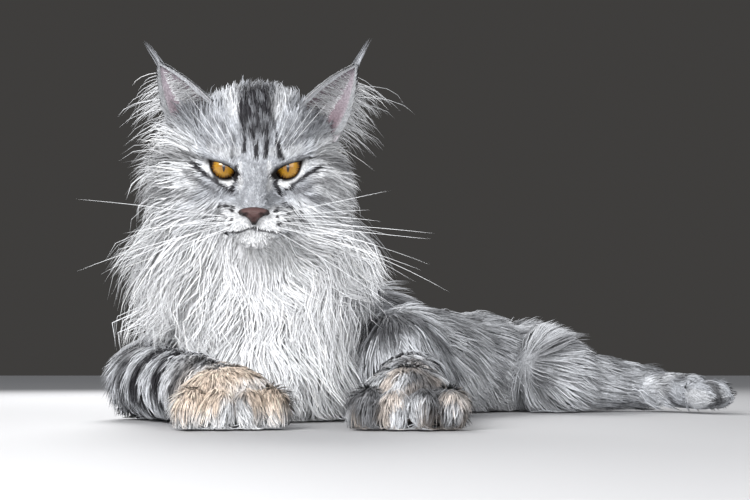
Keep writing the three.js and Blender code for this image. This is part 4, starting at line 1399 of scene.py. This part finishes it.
# The studio: a pale floor, soft lights and a camera low in front, as in the photograph.
studio = {
    "camera": (81, -1060, 40),
    "pitch": math.atan(116 / 1450),
    "lens": 69.6,
    "floor": [(-4000, -2500, 0), (4000, -2500, 0), (4000, 5000, 0), (-4000, 5000, 0)],
    "key": {"at": (-520, -1250, 760), "size": 800, "watts": 26},
    "fill": {"at": (850, -1150, 420), "size": 1000, "watts": 7},
    "low": {"at": (60, -1500, 60), "size": 700, "watts": 9},
    "rim": {"at": (-250, 1000, 800), "size": 700, "watts": 16},
    "aim": (40, 0, 110),
}


def makeStudio():
    scene = bpy.context.scene
    floor = meshObject("floor", studio["floor"], [(0, 1, 2, 3)], floorMaterial())
    for name in ("key", "fill", "low", "rim"):
        facts = studio[name]
        light = bpy.data.lights.new(name, "AREA")
        light.energy = facts["watts"]
        light.size = facts["size"] * mm
        lamp = bpy.data.objects.new(name, light)
        lamp.location = Vector(facts["at"]) * mm
        beam = Vector(studio["aim"]) - Vector(facts["at"])
        lamp.rotation_euler = beam.to_track_quat("-Z", "Y").to_euler()
        scene.collection.objects.link(lamp)
    world = bpy.data.worlds.new("studio")
    scene.world = world
    world.use_nodes = True
    nodes, links = world.node_tree.nodes, world.node_tree.links
    back = nodes["Background"]
    back.inputs["Color"].default_value = (0.55, 0.56, 0.58, 1)
    back.inputs["Strength"].default_value = 0.42
    seen, path = nodes.new("ShaderNodeBackground"), nodes.new("ShaderNodeLightPath")
    choose = nodes.new("ShaderNodeMixShader")
    seen.inputs["Color"].default_value = (0.050, 0.048, 0.046, 1)
    links.new(path.outputs["Is Camera Ray"], choose.inputs["Fac"])
    links.new(back.outputs[0], choose.inputs[1])
    links.new(seen.outputs[0], choose.inputs[2])
    links.new(choose.outputs[0], nodes["World Output"].inputs["Surface"])
    camera = bpy.data.objects.new("camera", bpy.data.cameras.new("camera"))
    camera.data.lens = studio["lens"]
    camera.data.sensor_width = 36
    camera.location = Vector(studio["camera"]) * mm
    camera.rotation_euler = (math.pi / 2 + studio["pitch"], 0, 0)
    scene.collection.objects.link(camera)
    scene.camera = camera
    scene.view_settings.view_transform = "Standard"
    scene.view_settings.look = "None"


makeStudio()
grain = makeGrainGroup()
skinMaterial = coatedMaterial("catSkin", grain, 700, 0.4, 0.8, bump=0.5)
coatMaterial = coatedMaterial("catCoat", grain, 450, 0.22, 0.65, specular=0.16)
whiskerMaterial = coatedMaterial("whiskerHair", grain, 900, 0.1, 0.35, specular=0.5)
noseMaterial = coatedMaterial("noseLeather", grain, 2600, 0.35, 0.42, specular=0.5, bump=0.8)
eyeMaterial = irisMaterial()

skin = makeSkin()
skin.data.materials.append(skinMaterial)
unwrapSkin(skin)
skinPoints = meshPoints(skin)
skinWeights = zoneWeights(skinPoints, zoneSoftness["wide"])
setColours(skin, coatColour(*markings(skinPoints, skinWeights)) * 0.8)
print("skin", len(skinPoints), "points")

bareNodes = [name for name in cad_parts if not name.startswith(("eye", "ear", "nose"))]
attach(skin, "root")
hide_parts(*bareNodes)

aim = np.array(studio["camera"], float)
for side, name in ((1, "left"), (-1, "right")):
    eye = makeEye(side, aim, eyeMaterial)
    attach(eye, "root")
    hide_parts(f"eye_{name}")
    lids = makeLids(side, skinMaterial)
    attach(lids, "root")
nose = makeNose(noseMaterial)
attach(nose, "root")
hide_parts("nose")
ears = makeEars(skinMaterial)
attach(ears, "root")
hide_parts("ear_left", "ear_right")
print("eyes, lids, nose and ears made")

where = skinMap(skin)


def faceDensity(points):
    return 1 + 1.2 * (toHead(points)[:, 1] < 20)


def faceLength(root, length):
    # Shorter hair at the mouth, round the eyes and on the bridge of the nose.
    local = toHead(root)
    length = length * mix(0.12, 1.0, smooth(0.8, 5, lineDistance(mirrored(local), mouthLine)))
    near = np.linalg.norm(np.stack([np.abs(local[:, 0]) - 22, local[:, 2]], axis=1), axis=1)
    length = length * mix(0.5, 1.0, smooth(9, 24, near))
    bridge = (1 - smooth(7, 15, np.abs(local[:, 0]))) * (1 - smooth(-6, 12, local[:, 2]))
    return length * mix(1.0, 0.55, bridge * (local[:, 1] < 0))


def longOnly(points):
    local = toHead(points)
    cheeks = smooth(22, 40, np.abs(local[:, 0])) * smooth(-4, 16, local[:, 1])
    return 0.04 + cheeks + smooth(30, 44, local[:, 2]) * 0.8


def pawDensity(points):
    return 1 + 1.5 * (points[:, 1] < -125)


def toeDensity(points):
    return (points[:, 1] < -140) & (points[:, 2] < 24)


def toeLength(root, length):
    return np.full(len(length), 19.0)


# Each piece of the coat: where it grows, how many tufts and rings, their width in millimetres and their lie.
# depth, where given, is how dark the painted shade at the hair's roots is.
coats = [
    {"name": "coat_face", "zones": ["face"],
     "count": 17000, "rings": 2, "width": 1.0,
     "lift": 15, "curl": 0.05, "droop": 0.0, "clumps": (5, 0.3),
     "slot": "coat_silver", "density": faceDensity, "shorten": faceLength},
    {"name": "coat_cheeks", "zones": ["face"],
     "count": 6500, "rings": 4, "width": 1.0,
     "lift": 22, "curl": 0.4, "droop": 0.15, "clumps": (9, 0.5),
     "slot": "coat_silver", "density": longOnly, "shorten": faceLength},
    {"name": "coat_ruff_a", "zones": ["neck"],
     "count": 6800, "rings": 5, "width": 0.85,
     "lift": 24, "curl": 1.1, "droop": 0.3, "clumps": (44, 0.72),
     "slot": "coat_white", "depth": 0.8},
    {"name": "coat_ruff_b", "zones": ["neck"],
     "count": 6800, "rings": 5, "width": 0.75,
     "lift": 16, "curl": 0.95, "droop": 0.4, "clumps": (18, 0.55),
     "slot": "coat_white", "depth": 0.85},
    {"name": "coat_chest", "zones": ["chest"],
     "count": 5600, "rings": 5, "width": 1.15,
     "lift": 20, "curl": 0.6, "droop": 0.25, "clumps": (18, 0.6),
     "slot": "coat_white", "depth": 0.75},
    {"name": "coat_trunk", "zones": ["belly", "rump"],
     "count": 6300, "rings": 4, "width": 1.25,
     "lift": 18, "curl": 0.35, "droop": 0.2, "clumps": (9, 0.45),
     "slot": "coat_silver"},
    {"name": "coat_arms", "zones": ["armLeft", "armRight", "forearmLeft", "forearmRight"],
     "count": 7000, "rings": 3, "width": 1.2,
     "lift": 18, "curl": 0.3, "droop": 0.12, "clumps": (7, 0.45),
     "slot": "coat_silver"},
    {"name": "coat_forepaws", "zones": ["pawLeft", "pawRight"],
     "count": 7500, "rings": 3, "width": 0.95,
     "lift": 18, "curl": 0.25, "droop": 0.1, "clumps": (7, 0.45),
     "slot": "coat_silver", "density": pawDensity},
    {"name": "coat_toes", "zones": ["pawLeft", "pawRight"],
     "count": 650, "rings": 4, "width": 0.9,
     "lift": 16, "curl": 0.2, "droop": 0.3, "clumps": (14, 0.7),
     "slot": "coat_white", "density": toeDensity, "shorten": toeLength},
    {"name": "coat_hind", "zones": ["thighLeft", "thighRight", "shankLeft", "hindLeft", "hindRight"],
     "count": 6500, "rings": 3, "width": 1.25,
     "lift": 18, "curl": 0.3, "droop": 0.15, "clumps": (8, 0.45),
     "slot": "coat_silver"},
    {"name": "coat_tail", "zones": ["tail"],
     "count": 3600, "rings": 4, "width": 2.2,
     "lift": 26, "curl": 0.2, "droop": 0.1, "clumps": (12, 0.55),
     "slot": "coat_silver"},
]
for i, facts in enumerate(coats):
    piece = coatPiece(facts, where, coatMaterial, np.random.default_rng(100 + i))
    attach(piece, "root")

for piece in earHair(np.random.default_rng(201), coatMaterial):
    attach(piece, "root")
whiskers = makeWhiskers(np.random.default_rng(301), whiskerMaterial)
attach(whiskers, "root")
print("coat made")
